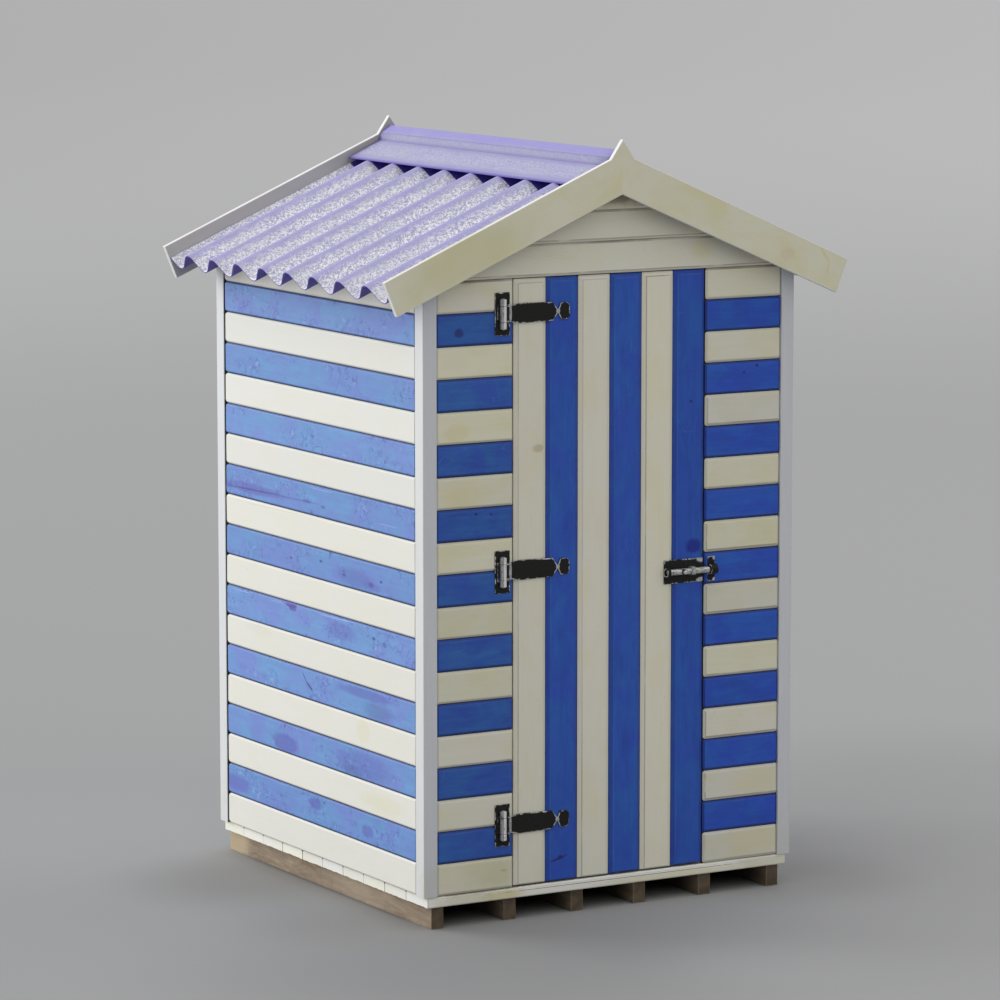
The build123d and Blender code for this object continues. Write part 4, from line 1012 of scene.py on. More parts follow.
mat_knob = steel("knob_steel", 0.15, "x", light=(0.88, 0.88, 0.87))

rng = random.Random(71)

# ---- striped walls ----
ROWS = 19
SIDE_ROWS = (108.2, 100.24, 105.6, 2007.6)  # first joint, pitch, foot, top
FRONT_ROWS = (105.1, 100.37, 105.6, 2012.0)


def rows_wall(name, u0, u1, place, replaced, mats, rows, end_gap=(1.6, 1.6), seed=1, radii=None, lined="lb", painted="", bevel=7.5, depth=4.6):
    piece = Piece(name)
    r = random.Random(seed)
    first, pitch, foot, head = rows
    radii = radii or [9.0] * 4
    for k in range(ROWS):
        z0 = first + pitch * k + 0.8 if k else foot
        z1 = first + pitch * (k + 1) - 0.8 if k < ROWS - 1 else head
        proud = r.uniform(-0.45, 0.45)
        lean = r.uniform(-0.4, 0.4)
        a = u0 + end_gap[0] + r.uniform(-0.3, 0.3)
        b = u1 - end_gap[1] + r.uniform(-0.3, 0.3)
        mid = (z0 + z1) / 2
        tilt = r.uniform(-0.25, 0.25) / (b - a)

        def here(u, v, w, proud=proud, lean=lean, mid=mid, tilt=tilt, a=a, b=b):
            if w > 5:
                w = w + proud + lean * (v - mid) / 50
            return place(u, v + tilt * (u - (a + b) / 2), w)

        paint = 0 if k % 2 == 0 else 1
        up = 4.0 if k < ROWS - 1 else 0.0
        down = -4.6 if k > 0 else 0.0
        board(
            piece,
            [(a, z0), (b, z0), (b, z1), (a, z1)],
            here,
            14.0,
            r,
            mats=(paint, paint, 2),
            bevel=bevel,
            depth=depth,
            radii=radii,
            tongue=[down, 0.3, up, 0.3],
            lined=lined,
            painted=painted,
        )
    return join_to_collection(piece.build(mats), "hut", [replaced])


rows_wall(
    "boards_left",
    -644.0,
    644.0,
    lambda u, v, w: (-(659.0 + w), u, v),
    "wall_left",
    [mat_cream_side, mat_blue_side, mat_wood],
    SIDE_ROWS,
    end_gap=(0.6, 3.2),
    seed=11,
    radii=[4.0, 12.0, 12.0, 4.0],
    lined="",
    bevel=5.0,
    depth=3.2,
)
rows_wall(
    "boards_right",
    -644.0,
    644.0,
    lambda u, v, w: (659.0 + w, u, v),
    "wall_right",
    [mat_cream_front, mat_blue_front, mat_wood],
    SIDE_ROWS,
    end_gap=(0.8, 2.4),
    seed=12,
    radii=[5.0, 11.0, 11.0, 5.0],
    lined="",
    bevel=5.0,
    depth=3.2,
)
rows_wall(
    "boards_back",
    -628.0,
    628.0,
    lambda u, v, w: (u, 681.5 + w, v),
    "wall_back",
    [mat_cream_back, mat_blue_back, mat_wood],
    FRONT_ROWS,
    seed=13,
)
rows_wall(
    "boards_front_left",
    -628.0,
    -355.6,
    lambda u, v, w: (u, -(681.5 + w), v),
    "front_wall_left",
    [mat_cream_front, mat_blue_left, mat_wood],
    FRONT_ROWS,
    end_gap=(0.7, 0.3),
    seed=14,
    radii=[5.0, 4.0, 4.0, 5.0],
    lined="",
    painted="r",
)
rows_wall(
    "boards_front_right",
    344.6,
    628.0,
    lambda u, v, w: (u, -(681.5 + w), v),
    "front_wall_right",
    [mat_cream_front, mat_blue_right, mat_wood],
    FRONT_ROWS,
    end_gap=(0.3, 0.6),
    seed=15,
    radii=[9.0, 7.0, 7.0, 9.0],
)

# ---- door leaf ----
DOOR0, DOOR1 = -352.5, 341.5
door = Piece("door_boards")
r = random.Random(21)
step = (DOOR1 - DOOR0) / 6
for k in range(6):
    a = DOOR0 + step * k + (0.6 if k else 0.0)
    b = DOOR0 + step * (k + 1) - (0.6 if k < 5 else 0.0)
    z0 = 109.5 + r.uniform(0.0, 0.8)
    z1 = 2010.4 - r.uniform(0.0, 0.4)
    proud = r.uniform(-0.35, 0.35)

    def here(u, v, w, proud=proud):
        if w > 5:
            w = w + proud
        return (u, -(681.5 + w), v)

    paint = 0 if k % 2 == 0 else 1
    board(
        door,
        [(a, z0), (b, z0), (b, z1), (a, z1)],
        here,
        14.0,
        r,
        mats=(paint, paint, 2),
        bevel=14.0,
        depth=5.6,
        radius=4.0,
        tongue=[0.0, 4.0 if k < 5 else 0.0, 0.0, -4.6 if k else 0.0],
        along=1,
        lined="lt",
        painted="l" if k == 0 else "",
        grow=[0.35, 1.0, 1.0, 1.0],
    )
join_to_collection(
    door.build([mat_cream_door, mat_blue_door, mat_wood]), "door", ["door_leaf"]
)

# ---- gables of lapped boards ----
TROUGH_APEX = BARGE_APEX - 79.0 / COS
GABLE_ROWS = ((2012.4, 2113.1), (2113.5, 2209.6), (2210.0, TROUGH_APEX - 0.8))


def roof_x(z, gap=0.6):
    return min(671.0, (TROUGH_APEX - gap - z) / 0.4313)


def gable(name, side, replaced, seed):
    piece = Piece(name)
    r = random.Random(seed)
    for k, (z0, z1) in enumerate(GABLE_ROWS):
        x0, x1 = roof_x(z0), roof_x(z1)
        if k == 0:
            # the feet step down onto the corner posts
            zc = TROUGH_APEX - 0.6 - 0.4313 * 671.0
            poly = [
                (-671.0, 2008.9), (-628.6, 2008.9), (-628.6, z0), (628.6, z0), (628.6, 2008.9),
                (671.0, 2008.9), (671.0, zc), (x1, z1), (-x1, z1), (-671.0, zc),
            ]
        elif x1 > 12:
            poly = [(-x0, z0), (x0, z0), (x1, z1), (-x1, z1)]
        else:
            poly = [(-x0, z0), (x0, z0), (0.0, z0 + x0 * 0.4313)]
        n = len(poly)
        long = 2 if k == 0 else 0
        grow = [1.0 if i == long else 0.06 for i in range(n)]

        def here(u, v, w, z0=z0, side=side):
            w = w * (1.0 - 0.58 * max(0.0, v - z0) / 98.0)
            return (u, side * (681.5 + w), v)

        board(
            piece,
            poly,
            here,
            18.0,
            r,
            mats=(0, 0, 1),
            bevel=7.0,
            depth=4.2,
            radii=[0.0] * n,
            tongue=[0.0] * n,
            steps=[18 if i == long else 1 for i in range(n)],
            wear=0.5,
            grow=grow,
        )
    obj = piece.build([mat_cream_gable, mat_wood], weighted=False)
    # notches where the roof battens pass
    cut = Piece("cut")
    for sx in (-1, 1):
        for along in (110.0, 380.0, 640.0):
            pts = []
            for da, db in ((-22.8, 74.0), (22.8, 74.0), (22.8, 106.7), (-22.8, 106.7)):
                s, d = along + da, db
                pts.append((sx * (s * COS - d * SIN), BARGE_APEX - s * SIN - d * COS))
            rings = [[(p[0], y, p[1]) for p in pts] for y in (side * 650.0, side * 730.0)]
            cut.shell(rings, [(0, 0.0)], cap0=(0, 0.0), cap1=(0, 0.0))
    tool = cut.build([mat_wood], weighted=False, smooth=False)
    mod = obj.modifiers.new("notch", "BOOLEAN")
    mod.operation, mod.solver, mod.object = "DIFFERENCE", "EXACT", tool
    dg = bpy.context.evaluated_depsgraph_get()
    dg.update()
    made = bpy.data.meshes.new_from_object(obj.evaluated_get(dg))
    obj.modifiers.clear()
    obj.data = made
    bpy.data.objects.remove(tool)
    wn = obj.modifiers.new("weighted", "WEIGHTED_NORMAL")
    wn.keep_sharp = True
    return join_to_collection(obj, "hut", [replaced])


gable("gable_boards_front", -1, "front_gable", 31)
gable("gable_boards_back", 1, "back_gable", 32)

# ---- floor boards, laid across, their rounded ends showing at the sides ----
floor = Piece("floor_boards")
r = random.Random(41)
for k in range(10):
    y0 = -694.5 + 138.65 * k + 0.25
    y1 = -694.5 + 138.65 * (k + 1) - 0.25
    end = r.uniform(0.0, 1.2)
    lift = r.uniform(-0.5, 0.0)
    n_low = 12
    top = 104.5 + lift
    low = [(y0, 70.0), (y1, 70.0), (y1, top), (y0, top)]
    low_r, low_s = [6.0, 6.0, 5.0, 5.0], [n_low, 1, 3, 1]
    if k == 0:
        # a scored line runs along the front edge
        low += [(y0, 97.4), (y0 + 1.3, 96.6), (y0 + 1.3, 95.6), (y0, 94.8)]
        low_r, low_s = low_r + [0.0] * 4, low_s + [1] * 4
    pts, normals, inside = outline(low, low_r, [0] * len(low), low_s, 5)
    rag = [r.uniform(0.0, 2.2) if (s and abs(p[1] - 70) < 0.1) else 0.0 for p, s in zip(pts, inside)]
    tone = r.random()
    sh = (r.uniform(-4000, 4000), r.uniform(-4000, 4000), r.uniform(-4000, 4000))
    rings, bands = [], []
    for x, inset, edge in (
        (-661.0 + end, 1.6, 0),
        (-661.0 + end + 0.5, 0.5, 1),
        (-661.0 + end + 1.8, 0.0, 1),
        (-610.0, 0.0, 0),
        (-200.0, 0.0, 0),
        (200.0, 0.0, 0),
        (610.0, 0.0, 0),
        (661.0 - end - 1.8, 0.0, 0),
        (661.0 - end - 0.5, 0.5, 1),
        (661.0 - end, 1.6, 1),
    ):
        q, _, _ = outline(low, low_r, [inset * (1.0 if i < 3 else 0.7) for i in range(len(low))], low_s, 5)
        fade = 1.0 if abs(x) > 655 else (0.55 if abs(x) > 600 else 0.2)
        rings.append([(x, p[0], p[1] + g * fade) for p, g in zip(q, rag)])
        bands.append((0, float(edge)))
    floor.shell(
        rings,
        bands[1:],
        cap0=(0, 0.0),
        cap1=(0, 0.0),
        grain=lambda p: (p[0] + sh[0], p[1] + sh[1], p[2] + sh[2]),
        tone=tone,
    )
join_to_collection(floor.build([mat_floor]), "hut", ["floor_deck"])

# ---- bearers, a little uneven ----
bearers = Piece("bearer_timbers")
r = random.Random(51)
for xc in (-618.0, -359.0, -116.0, 116.0, 359.0, 618.0):
    sh = (r.uniform(-4000, 4000), r.uniform(-4000, 4000), r.uniform(-4000, 4000))
    skew = r.uniform(-2.0, 2.0)
    steps_y = 26
    rings, bands = [], []
    ys = [-681.0, -680.4, -678.0] + [-678.0 + 1372.0 * (i + 1) / steps_y for i in range(steps_y - 1)] + [694.0, 696.4, 697.0]
    for i, y in enumerate(ys):
        inset = 2.2 if i in (0, len(ys) - 1) else (0.7 if i in (1, len(ys) - 2) else 0.0)
        half = 22.5
        q, nn, ins = outline(
            [(-half, 0.0), (half, 0.0), (half, 70.0), (-half, 70.0)],
            [2.0, 2.0, 2.0, 2.0],
            [inset] * 4,
            [2, 4, 2, 4],
            2,
        )
        ring = []
        for p, m_, s_ in zip(q, nn, ins):
            wob = r.uniform(0.0, 0.9) if s_ else r.uniform(0.0, 0.5)
            x = xc + p[0] + m_[0] * wob + skew * (y / 700.0)
            z = p[1] + (m_[1] * wob if 1.0 < p[1] < 69.0 or p[1] > 69.0 else 0.0)
            ring.append((x, y, min(70.0, max(0.0, z))))
        rings.append(ring)
        bands.append((0, 1.0 if i in (1, 2, len(ys) - 2, len(ys) - 1) else 0.0))
    bearers.shell(
        rings,
        bands[1:],
        cap0=(0, 4.0),
        cap1=(0, 4.0),
        grain=lambda p: (p[1] + sh[0], p[0] + sh[1], p[2] + sh[2]),
        tone=r.random(),
    )
join_to_collection(bearers.build([mat_bearer], sharp=40), "hut", ["bearers"])

# ---- roof sheets ----
SHEET_PITCH, SHEET_DEPTH, SHEET_T = 172.3, 55.0, 4.0
FLANK = math.radians(43.0)
rise = SHEET_DEPTH - SHEET_T
half_pitch = SHEET_PITCH / 2
a11, a12 = 2 * (1 - math.cos(FLANK)), math.sin(FLANK)
a21, a22 = 2 * math.sin(FLANK), math.cos(FLANK)
det = a11 * a22 - a12 * a21
WAVE_R = (rise * a22 - a12 * half_pitch) / det
FIRST_CREST = -604.2


def wave(y):
    """(height, slope angle) of the sheet's middle line at y: crest at +rise/2."""
    t = (y - FIRST_CREST) / SHEET_PITCH
    t = t - math.floor(t)
    d = t * SHEET_PITCH  # 0 at a crest
    flip = 1.0
    if d > half_pitch:
        d = SHEET_PITCH - d
        flip = -1.0
    ax = WAVE_R * math.sin(FLANK)
    if d <= ax:
        q = math.asin(d / WAVE_R)
        h = rise / 2 - WAVE_R * (1 - math.cos(q))
    elif d >= half_pitch - ax:
        q = math.asin((half_pitch - d) / WAVE_R)
        h = -rise / 2 + WAVE_R * (1 - math.cos(q))
    else:
        q = FLANK
        h = rise / 2 - WAVE_R * (1 - math.cos(FLANK)) - (d - ax) * math.tan(FLANK)
    return h, -flip * q, d / half_pitch


def roof_sheet(name, sx, replaced, seed):
    r = random.Random(seed)
    half = 739.5
    ys = [-half]
    per = 26
    k0 = math.ceil((-half - FIRST_CREST) / (SHEET_PITCH / per))
    y = FIRST_CREST + k0 * SHEET_PITCH / per
    while y < half - 1:
        if y > -half + 1:
            ys.append(y)
        y += SHEET_PITCH / per
    ys.append(half)
    stations = [39.0, 40.0, 120.0, 182.0, 200.0, 280.0, 360.0, 440.0, 520.0, 600.0, 680.0, 760.0, 840.0, 880.0, 909.2, 910.0]
    dent = [[r.uniform(-0.5, 0.5) for _ in range(12)] for _ in stations]
    v, f, flank, edge = [], [], [], []
    mid_below = 24.0 + SHEET_DEPTH / 2

    def at(s, y, h):
        d = mid_below - h
        return (sx * (s * COS - d * SIN) / 1000, y / 1000, (BARGE_APEX - s * SIN - d * COS) / 1000)

    n = len(ys)
    for layer in (1, -1):
        for i, s in enumerate(stations):
            pull = 0.0
            thin = 1.0
            if i in (0, len(stations) - 1):
                thin = 0.72
            for j, y in enumerate(ys):
                h, q, phase = wave(y)
                t = SHEET_T / 2 * layer * thin
                yy = y - t * math.sin(q)
                yy = max(-half, min(half, yy))
                hh = h + t * math.cos(q)
                bump = 0.0
                if 0 < i < len(stations) - 1:
                    bump = dent[i][int((y + half) / (2 * half) * 10.99)] * 0.5
                v.append(at(s, yy, hh + bump))
                flank.append(phase)
    m = len(stations)

    def vid(layer, i, j):
        return (layer * m + i) * n + j

    for layer in (0, 1):
        for i in range(m - 1):
            for j in range(n - 1):
                f.append((vid(layer, i, j), vid(layer, i, j + 1), vid(layer, i + 1, j + 1), vid(layer, i + 1, j)))
                edge.append(4.0 if layer else (3.0 if stations[i] < 181 else 0.0))
    for i in (0, m - 1):
        for j in range(n - 1):
            f.append((vid(0, i, j), vid(0, i, j + 1), vid(1, i, j + 1), vid(1, i, j)))
            edge.append(2.0)
    for j in (0, n - 1):
        for i in range(m - 1):
            f.append((vid(0, i, j), vid(0, i + 1, j), vid(1, i + 1, j), vid(1, i, j)))
            edge.append(2.0)
    me = bpy.data.meshes.new(name)
    me.from_pydata(v, [], f)
    me.materials.append(mat_roof)
    a = me.attributes.new("edge", "FLOAT", "FACE")
    a.data.foreach_set("value", np.array(edge, np.float32))
    a = me.attributes.new("flank", "FLOAT", "POINT")
    a.data.foreach_set("value", np.array(flank, np.float32))
    bm = bmesh.new()
    bm.from_mesh(me)
    bmesh.ops.recalc_face_normals(bm, faces=bm.faces)
    bm.to_mesh(me)
    bm.free()
    me.polygons.foreach_set("use_smooth", [True] * len(me.polygons))
    me.set_sharp_from_angle(angle=math.radians(40))
    obj = bpy.data.objects.new(name, me)
    scene.collection.objects.link(obj)
    return join_to_collection(obj, "hut", [replaced])


roof_sheet("roof_wave_left", -1, "roof_sheet_left", 61)
roof_sheet("roof_wave_right", 1, "roof_sheet_right", 62)

# ---- ridge cap, one bent sheet ----
cap = Piece("ridge_capping")
CAP_T = 4.0


def barge_line(x, below):
    return BARGE_APEX - 0.4313 * abs(x) - below / COS


wing_out = (160.0, barge_line(160.0, 22.0))
crease = (44.0, 2345.7)
neck = (32.0, 2373.0)
top = (0.0, 2397.0)
path = [(-wing_out[0], wing_out[1]), (-crease[0], crease[1]), (-neck[0], neck[1]), top, neck, crease, wing_out]
path = [np.array(p, float) for p in path]
soft_path = [path[0]]
for i in range(1, len(path) - 1):
    a, b, c = path[i - 1], path[i], path[i + 1]
    reach = 5.0 if i != 3 else 6.0
    t0 = (b - a) / np.linalg.norm(b - a)
    t1 = (c - b) / np.linalg.norm(c - b)
    p0, p2 = b - t0 * reach, b + t1 * reach
    for k in range(5):
        t = k / 4
        soft_path.append((1 - t) ** 2 * p0 + 2 * t * (1 - t) * b + t * t * p2)
soft_path.append(path[-1])
normals = []
for i, p in enumerate(soft_path):
    a = soft_path[max(0, i - 1)]
    b = soft_path[min(len(soft_path) - 1, i + 1)]
    t = (b - a) / np.linalg.norm(b - a)
    normals.append(np.array((-t[1], t[0])))
ys = [-735.0, -734.2] + [-735.0 + 1470.0 * k / 14 for k in range(1, 14)] + [734.2, 735.0]
r = random.Random(65)
for i, y in enumerate(ys):
    thin = 0.7 if i in (0, len(ys) - 1) else 1.0
    wob = [r.uniform(-0.5, 0.5) for _ in soft_path] if 1 < i < len(ys) - 2 else [0.0] * len(soft_path)
    ring = []
    for p, nn, w in zip(soft_path, normals, wob):
        q = p + nn * (CAP_T / 2 * thin)
        ring.append((q[0], y, q[1]))
    for p, nn, w in zip(soft_path[::-1], normals[::-1], wob[::-1]):
        q = p - nn * (CAP_T / 2 * thin)
        ring.append((q[0], y, q[1]))
    cap.verts(ring)
m = 2 * len(soft_path)
half_m = len(soft_path)
for i in range(len(ys) - 1):
    for j in range(m):
        k = (j + 1) % m
        if j < half_m - 1:
            e = 0.0
        elif j == half_m - 1 or j == m - 1:
            e = 1.0
        else:
            e = 2.0
        cap.face([i * m + j, i * m + k, (i + 1) * m + k, (i + 1) * m + j], 0, e)
for i, rev in ((0, False), (len(ys) - 1, True)):
    for j in range(half_m - 1):
        quad = [i * m + j, i * m + j + 1, i * m + m - 2 - j, i * m + m - 1 - j]
        cap.face(quad[::-1] if rev else quad, 0, 2.0)
join_to_collection(cap.build([mat_cap], weighted=False, sharp=50), "hut", ["ridge_cap"])

# ---- bargeboards ----
BARGE = [(0.0, 2260.6), (796.0, 1918.9), (840.0, 2024.2), (42.0, 2368.4), (0.0, 2429.0)]
for name, sx, sy, replaced in (
    ("barge_front_left", -1, -1, "bargeboard_front_left"),
    ("barge_front_right", 1, -1, "bargeboard_front_right"),
    ("barge_back_left", -1, 1, "bargeboard_back_left"),
    ("barge_back_right", 1, 1, "bargeboard_back_right"),
):
    piece = Piece(name)
    slab(
        piece,
        BARGE,
        lambda u, v, w, sx=sx, sy=sy: (sx * u, sy * (740.0 + w), v),
        17.0,
        bevel=1.8,
        radii=[0.0, 1.5, 1.5, 0.0, 0.0],
        grow=[1.0, 1.0, 1.0, 1.0, 0.0],
        steps=[14, 3, 14, 2, 1],
        side=4.0,
        arris=4.0,
        inner=5.0,
    )
    # grain runs down the slope
    piece.grain = [
        (p[0] * COS * sx - p[2] * SIN, p[0] * SIN * sx + p[2] * COS + 900 * sx, p[1]) for p in piece.v
    ]
    join_to_collection(piece.build([mat_barge]), "hut", [replaced])

# ---- hinges ----
FACE = 695.5  # the front wall's face
PIN_X, PIN_Y = -398.0, -706.5
for z0, tag in ((307.0, "bottom"), (1104.0, "middle"), (1904.0, "top")):
    plate = Piece(f"hinge_{tag}_plate")
    slab(
        plate,
        [
            (-422.5, z0 - 66.5), (-369.5, z0 - 66.5), (-369.5, z0 - 26.5), (-411.0, z0 - 26.5),
            (-411.0, z0 + 26.5), (-369.5, z0 + 26.5), (-369.5, z0 + 66.5), (-422.5, z0 + 66.5),
        ],
        lambda u, v, w: (u, -(FACE + w), v),
        3.0,
        bevel=1.0,
        radii=[2.5, 1.5, 0, 0, 0, 0, 1.5, 2.5],
        back=False,
        rim=2.2,
    )
    # a thin black sheet closes the window behind the knuckle, standing in for the shade there
    slab(
        plate,
        [(-411.6, z0 - 27.0), (-369.8, z0 - 27.0), (-369.8, z0 + 27.0), (-411.6, z0 + 27.0)],
        lambda u, v, w: (u, -(FACE + w), v),
        0.36,
        bevel=0.1,
        back=False,
    )
    for a, b in ((-46.0, -25.6), (25.6, 46.0)):
        revolve(
            plate,
            [(a, 8.6), (a + 0.5, 9.8), (a + 1.6, 10.5), (b - 1.4, 10.5), (b - 0.5, 10.0), (b, 8.9)],
            (PIN_X, PIN_Y, z0),
            "z",
            36,
            mat=1,
        )
    join_to_collection(plate.build([mat_iron, mat_barrel]), "hut", [f"hinge_plate_{tag}"])

    strap = Piece(f"hinge_{tag}_strap")
    up = 2.0 if tag == "middle" else 0.0
    half = [
        (PIN_X + 6, 24.6), (-368.4, 25.0), (-364.4, 26.5), (-329.0, 31.5), (-216.3, 29.0),
        (-198.0, 4.5), (-188.0, 25.5), (-165.0, 26.0), (-155.5, 17.0),
    ]
    poly = [(x, z0 - h + (up if x > -366 else 0.0)) for x, h in half]
    poly += [(x, z0 + h + (up if x > -366 else 0.0)) for x, h in half[::-1]]

    def on_strap(u, v, w):
        # the strap passes over the fixed wall with a little room under it
        return (u, -(FACE + (max(w, 1.5) if u < -352.0 else w)), v)

    slab(
        strap,
        poly,
        on_strap,
        4.5,
        bevel=1.5,
        radii=[0, 0, 0, 2, 2.0, 1.2, 2.0, 3.0, 2.0, 2.0, 3.0, 2.0, 1.2, 2.0, 2, 0, 0, 0],
        back=False,
        rim=2.0,
    )
    # the strap's root is folded up in a low rib beside the knuckle
    rings = []
    for u, w, h in ((-371.4, 1.6, 25.6), (-371.2, 5.6, 25.6), (-370.2, 6.8, 25.2), (-367.2, 6.8, 25.2), (-366.0, 5.6, 25.6), (-365.6, 4.2, 25.6)):
        rings.append([(u, -(FACE + w), z0 + h * q) for q in (-1.0, -0.96, -0.5, 0.0, 0.5, 0.96, 1.0)])
    ids = [strap.verts(r) for r in rings]
    for i in range(len(ids) - 1):
        for j in range(6):
            strap.face([ids[i][j], ids[i + 1][j], ids[i + 1][j + 1], ids[i][j + 1]], 0, 1.0)
    strap.face([q[0] for q in ids][::-1], 0, 1.0)
    strap.face([q[-1] for q in ids], 0, 1.0)
    for j in range(6):
        strap.face([ids[-1][j], ids[0][j], ids[0][j + 1], ids[-1][j + 1]], 0, 0.0)
    revolve(
        strap,
        [(-25.0, 8.9), (-24.5, 10.0), (-23.6, 10.5), (23.6, 10.5), (24.5, 10.0), (25.0, 8.9)],
        (PIN_X, PIN_Y, z0),
        "z",
        36,
        mat=1,
    )
    join_to_collection(strap.build([mat_iron, mat_barrel]), "door", [f"hinge_strap_{tag}"])

# ---- bolt ----
BY, BZ = -709.5, 1057.0


def loop(piece, x0, x1, r_out, r_in, mat=0, segs=44):
    """A loop round the rod with two feet to its plate: outer outline, bore and rounded lips."""
    outer, inner = [], []
    reach = -FACE - 0.5 - BY  # how far the feet run towards the plate
    for k in range(segs):
        q = 2 * math.pi * k / segs
        c, s = math.cos(q), math.sin(q)  # c towards +Y (the plate), s up
        rad = r_out
        if c > 1e-6:
            rad = min(reach / c, r_out / max(abs(s), 1e-6))
            rad = max(rad, r_out * 0.9) if c < 0.2 else rad
        outer.append((c, s, rad))
        inner.append((c, s, r_in))
    prof = [(x0, 1.2, 0.8), (x0 + 0.9, 0.0, 0.0), (x1 - 0.9, 0.0, 0.0), (x1, 1.2, 0.8)]
    out_rings = [[(x, BY + c * (rad - o), BZ + s * (rad - o)) for c, s, rad in outer] for x, o, i in prof]
    in_rings = [[(x, BY + c * (rad + i), BZ + s * (rad + i)) for c, s, rad in inner] for x, o, i in prof]
    ids_o = [piece.verts(q) for q in out_rings]
    ids_i = [piece.verts(q) for q in in_rings]
    n = segs
    for k in range(3):
        for i in range(n):
            j = (i + 1) % n
            piece.face([ids_o[k][i], ids_o[k][j], ids_o[k + 1][j], ids_o[k + 1][i]], mat, 1.0 if k != 1 else 0.0)
            piece.face([ids_i[k][i], ids_i[k + 1][i], ids_i[k + 1][j], ids_i[k][j]], mat, 0.0)
    for k in (0, 3):
        for i in range(n):
            j = (i + 1) % n
            piece.face([ids_o[k][i], ids_o[k][j], ids_i[k][j], ids_i[k][i]], mat, 1.0)


plate = Piece("bolt_backplate")
slab(
    plate,
    [(192.3, BZ - 38.0), (336.0, BZ - 38.0), (336.0, BZ + 38.0), (192.3, BZ + 38.0)],
    lambda u, v, w: (u, -(FACE + w), v),
    3.0,
    bevel=1.0,
    radii=[2.5] * 4,
    back=False,
    rim=2.4,
)
loop(plate, 193.0, 206.0, 13.5, 10.6)
loop(plate, 284.0, 300.0, 13.5, 10.6, mat=1)
join_to_collection(plate.build([mat_iron, mat_bolt]), "door", ["bolt_plate"])

keeper = Piece("bolt_catch")
slab(
    keeper,
    [(355.5, BZ - 39.5), (382.0, BZ - 39.5), (382.0, BZ + 39.5), (355.5, BZ + 39.5)],
    lambda u, v, w: (u, -(FACE + w), v),
    3.0,
    bevel=1.0,
    radii=[2.5] * 4,
    back=False,
    rim=2.4,
)
loop(keeper, 355.5, 380.0, 16.0, 11.5)
join_to_collection(keeper.build([mat_iron]), "hut", ["bolt_keeper"])

rod = Piece("bolt_slide_rod")
revolve(
    rod,
    [(199.0, 7.6), (199.8, 9.0), (201.4, 10.0), (240.0, 10.0), (300.0, 10.0), (349.9, 10.0), (352.3, 9.0), (353.5, 7.4)],
    (0.0, BY, BZ),
    "x",
    40,
)
KNOB_X = 254.0
revolve(
    rod,
    [(-719.0, 4.5), (-722.6, 4.4), (-723.4, 4.2)],
    (KNOB_X, 0.0, BZ),
    "y",
    20,
)
revolve(
    rod,
    [(-716.0, 8.4), (-719.9, 8.2), (-720.8, 7.2), (-720.9, 4.0)],
    (KNOB_X, 0.0, BZ),
    "y",
    28,
    mat=2,
)
knob = []
for k in range(13):
    q = math.pi * (0.14 + 0.86 * k / 12)
    knob.append((-727.0 + 7.0 * math.cos(q), max(0.35, 7.0 * math.sin(q))))
revolve(rod, knob, (KNOB_X, 0.0, BZ), "y", 28, mat=1)
join_to_collection(rod.build([mat_bolt, mat_knob, mat_iron]), "bolt", ["bolt_rod"])

# --------------------------------------------------------------------------
# CAD nodes that stay: finishes, and softened arrises
# --------------------------------------------------------------------------
def keep(node, mat, bevel=1.2, slot=None):
    o = nodes[node]
    o.data.materials.clear()
    o.data.materials.append(mat)
    o.data.polygons.foreach_set("material_index", [0] * len(o.data.polygons))
    if bevel:
        b = o.modifiers.new("arris", "BEVEL")
        b.width = bevel / 1000
        b.segments = 2
        b.limit_method = "ANGLE"
        b.angle_limit = math.radians(50)
        b.use_clamp_overlap = True
        o.data.polygons.foreach_set("use_smooth", [True] * len(o.data.polygons))
        o.data.set_sharp_from_angle(angle=math.radians(50))
        w = o.modifiers.new("weighted", "WEIGHTED_NORMAL")
        w.keep_sharp = True


for name in ("post_front_left", "post_front_right", "post_back_left", "post_back_right"):
    keep(name, mat_white, 1.5)
for name in ("side_rails", "wall_plates", "roof_battens", "ridge_beam"):
    keep(name, mat_wood_y, 1.2)
for name in ("back_rails", "front_rails", "door_head", "door_ledges", "door_braces"):
    keep(name, mat_wood_x, 1.2)
for name in ("wall_studs", "door_post_left", "door_post_right", "door_stop"):
    keep(name, mat_wood_z, 1.2)
keep("hinge_pins", mat_steel, 0.4)

# --------------------------------------------------------------------------
# floor of the studio, world and lights
# --------------------------------------------------------------------------
me = bpy.data.meshes.new("studio_floor")
ring = [0.0, 1.5, 3, 5, 8, 12, 18, 30, 50, 90, 160, 300, 600]
verts, faces = [(0.0, 0.0, 0.0)], []
seg = 48
for rr in ring[1:]:
    for k in range(seg):
        q = 2 * math.pi * k / seg
        verts.append((rr * math.cos(q), rr * math.sin(q), 0.0))
for k in range(seg):
    faces.append((0, 1 + k, 1 + (k + 1) % seg))
for i in range(len(ring) - 2):
    for k in range(seg):
        a = 1 + i * seg
        b = 1 + (i + 1) * seg
        faces.append((a + k, b + k, b + (k + 1) % seg, a + (k + 1) % seg))
me.from_pydata(verts, [], faces)
ground = bpy.data.objects.new("studio_floor", me)
scene.collection.objects.link(ground)
n = Nodes("studio_grey")
dist = n.vmath("LENGTH", n.obj)


def painted_light_pool(x, y, radius):
    """1 at the place, falling smoothly to 0 at the radius."""
    return n.remap(n.vmath("DISTANCE", n.obj, (x, y, 0.0)), radius, 0.15 * radius)


far = n.remap(n.math("LOGARITHM", n.math("MAXIMUM", dist, 0.5), 10.0), 1.05, 1.68)
col = n.mix(far, (0.370, 0.370, 0.368), (0.540, 0.540, 0.538))
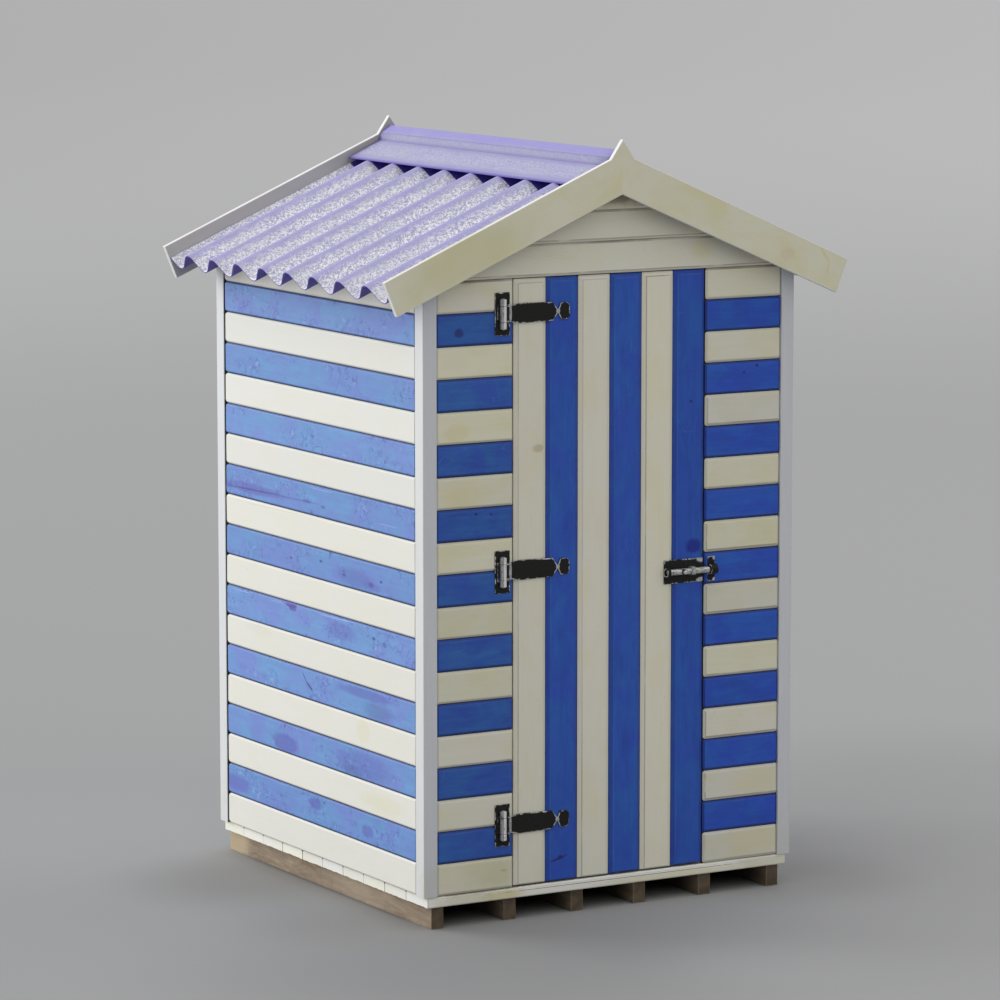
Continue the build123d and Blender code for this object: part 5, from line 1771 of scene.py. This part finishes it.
# painted pools of shadow and light on the floor round the hut
col = n.mix(n.math("MULTIPLY", painted_light_pool(-0.75, -1.25, 1.3), 0.8), col, (0.28, 0.28, 0.28))
col = n.mix(n.math("MULTIPLY", painted_light_pool(1.25, -1.60, 1.5), 0.40), col, (0.45, 0.45, 0.45))
col = n.mix(n.math("MULTIPLY", painted_light_pool(-0.9, 1.0, 1.2), 0.35), col, (0.43, 0.43, 0.43))
col = n.mix(n.math("MULTIPLY", painted_light_pool(2.1, 0.35, 1.5), 0.30), col, (0.27, 0.27, 0.27))
col = n.mix(n.math("MULTIPLY", painted_light_pool(0.76, -0.62, 0.50), 0.45), col, (0.26, 0.26, 0.26))
col = n.mix(n.math("MULTIPLY", painted_light_pool(-0.80, 0.22, 0.56), 0.50), col, (0.255, 0.240, 0.215))
col = n.mix(n.math("MULTIPLY", painted_light_pool(-0.80, -0.48, 0.50), 0.30), col, (0.255, 0.240, 0.215))
col = n.mix(n.math("MULTIPLY", painted_light_pool(0.05, -1.56, 0.50), 0.35), col, (0.43, 0.43, 0.43))
# darker at the lamp's foot, far from the hut, so that the floor isn't blown out when seen behind the hut
foot = n.remap(n.vmath("DISTANCE", n.obj, (-15.5, 19.6, 0.0)), 18.5, 5.0)
col = n.mix(n.math("MULTIPLY", foot, 0.90), col, (0.050, 0.050, 0.050))
# a little lighter towards the right
from_left = n.vmath("SUBTRACT", n.obj, (-7.7, -13.3, 0.0))
side = n.math("DIVIDE", n.vmath("DOT_PRODUCT", from_left, (0.865, -0.501, 0.0)), n.math("MAXIMUM", n.vmath("DOT_PRODUCT", from_left, (0.501, 0.865, 0.0)), 1.0))
col = n.mix(n.remap(side, -0.105, 0.105, 0.0, 1.0, smooth=False), n.mix(0.05, col, (0, 0, 0)), n.vmath("SCALE", col, scale=1.05))
# painted shade: the ground is dark right under the hut
away = n.vmath("ABSOLUTE", n.obj)
sep = n.new("ShaderNodeSeparateXYZ")
n.put(sep.inputs[0], away)
painted_shade_under = n.math("MULTIPLY", n.remap(sep.outputs[0], 0.670, 0.600), n.remap(sep.outputs[1], 0.705, 0.420))
col = n.mix(n.math("MULTIPLY", painted_shade_under, 0.97), col, (0.012, 0.011, 0.010))
n.set(base_color=col, roughness=0.9)
n.bsdf.inputs["Specular IOR Level"].default_value = 0.0
me.materials.append(n.mat)


world = bpy.data.worlds.new("studio")
scene.world = world
world.use_nodes = True
wt = world.node_tree
wt.nodes.clear()
w_out = wt.nodes.new("ShaderNodeOutputWorld")
w_bg = wt.nodes.new("ShaderNodeBackground")
w_co = wt.nodes.new("ShaderNodeTexCoord")
w_sep = wt.nodes.new("ShaderNodeSeparateXYZ")
w_map = wt.nodes.new("ShaderNodeMapRange")
w_mix = wt.nodes.new("ShaderNodeMix")
w_mix.data_type = "RGBA"
wt.links.new(w_co.outputs["Generated"], w_sep.inputs[0])
wt.links.new(w_sep.outputs[2], w_map.inputs["Value"])
w_map.inputs["From Min"].default_value = 0.0
w_map.inputs["From Max"].default_value = 0.9
wt.links.new(w_map.outputs["Result"], w_mix.inputs[0])
w_mix.inputs[6].default_value = (0.357, 0.357, 0.360, 1)
w_mix.inputs[7].default_value = (1.03, 1.03, 1.04, 1)
wt.links.new(w_mix.outputs[2], w_bg.inputs["Color"])
w_bg.inputs["Strength"].default_value = 1.0
wt.links.new(w_bg.outputs[0], w_out.inputs[0])


def area_light(name, location, target, size, size_y, power, colour):
    d = bpy.data.lights.new(name, "AREA")
    d.shape = "RECTANGLE"
    d.size, d.size_y = size, size_y
    d.energy = power
    d.color = colour
    o = bpy.data.objects.new(name, d)
    scene.collection.objects.link(o)
    o.visible_camera = False
    o.location = location
    o.rotation_mode = "QUATERNION"
    o.rotation_quaternion = (Vector(target) - Vector(location)).to_track_quat("-Z", "Y")
    return o


area_light("key", (-18.0, 22.8, 8.3), (0, 0, 1.1), 19.6, 14.0, 6500.0, (0.97, 0.985, 1.0))

scene.view_settings.view_transform = "Standard"
scene.view_settings.look = "None"
scene.view_settings.exposure = 0.0
scene.view_settings.gamma = 1.0
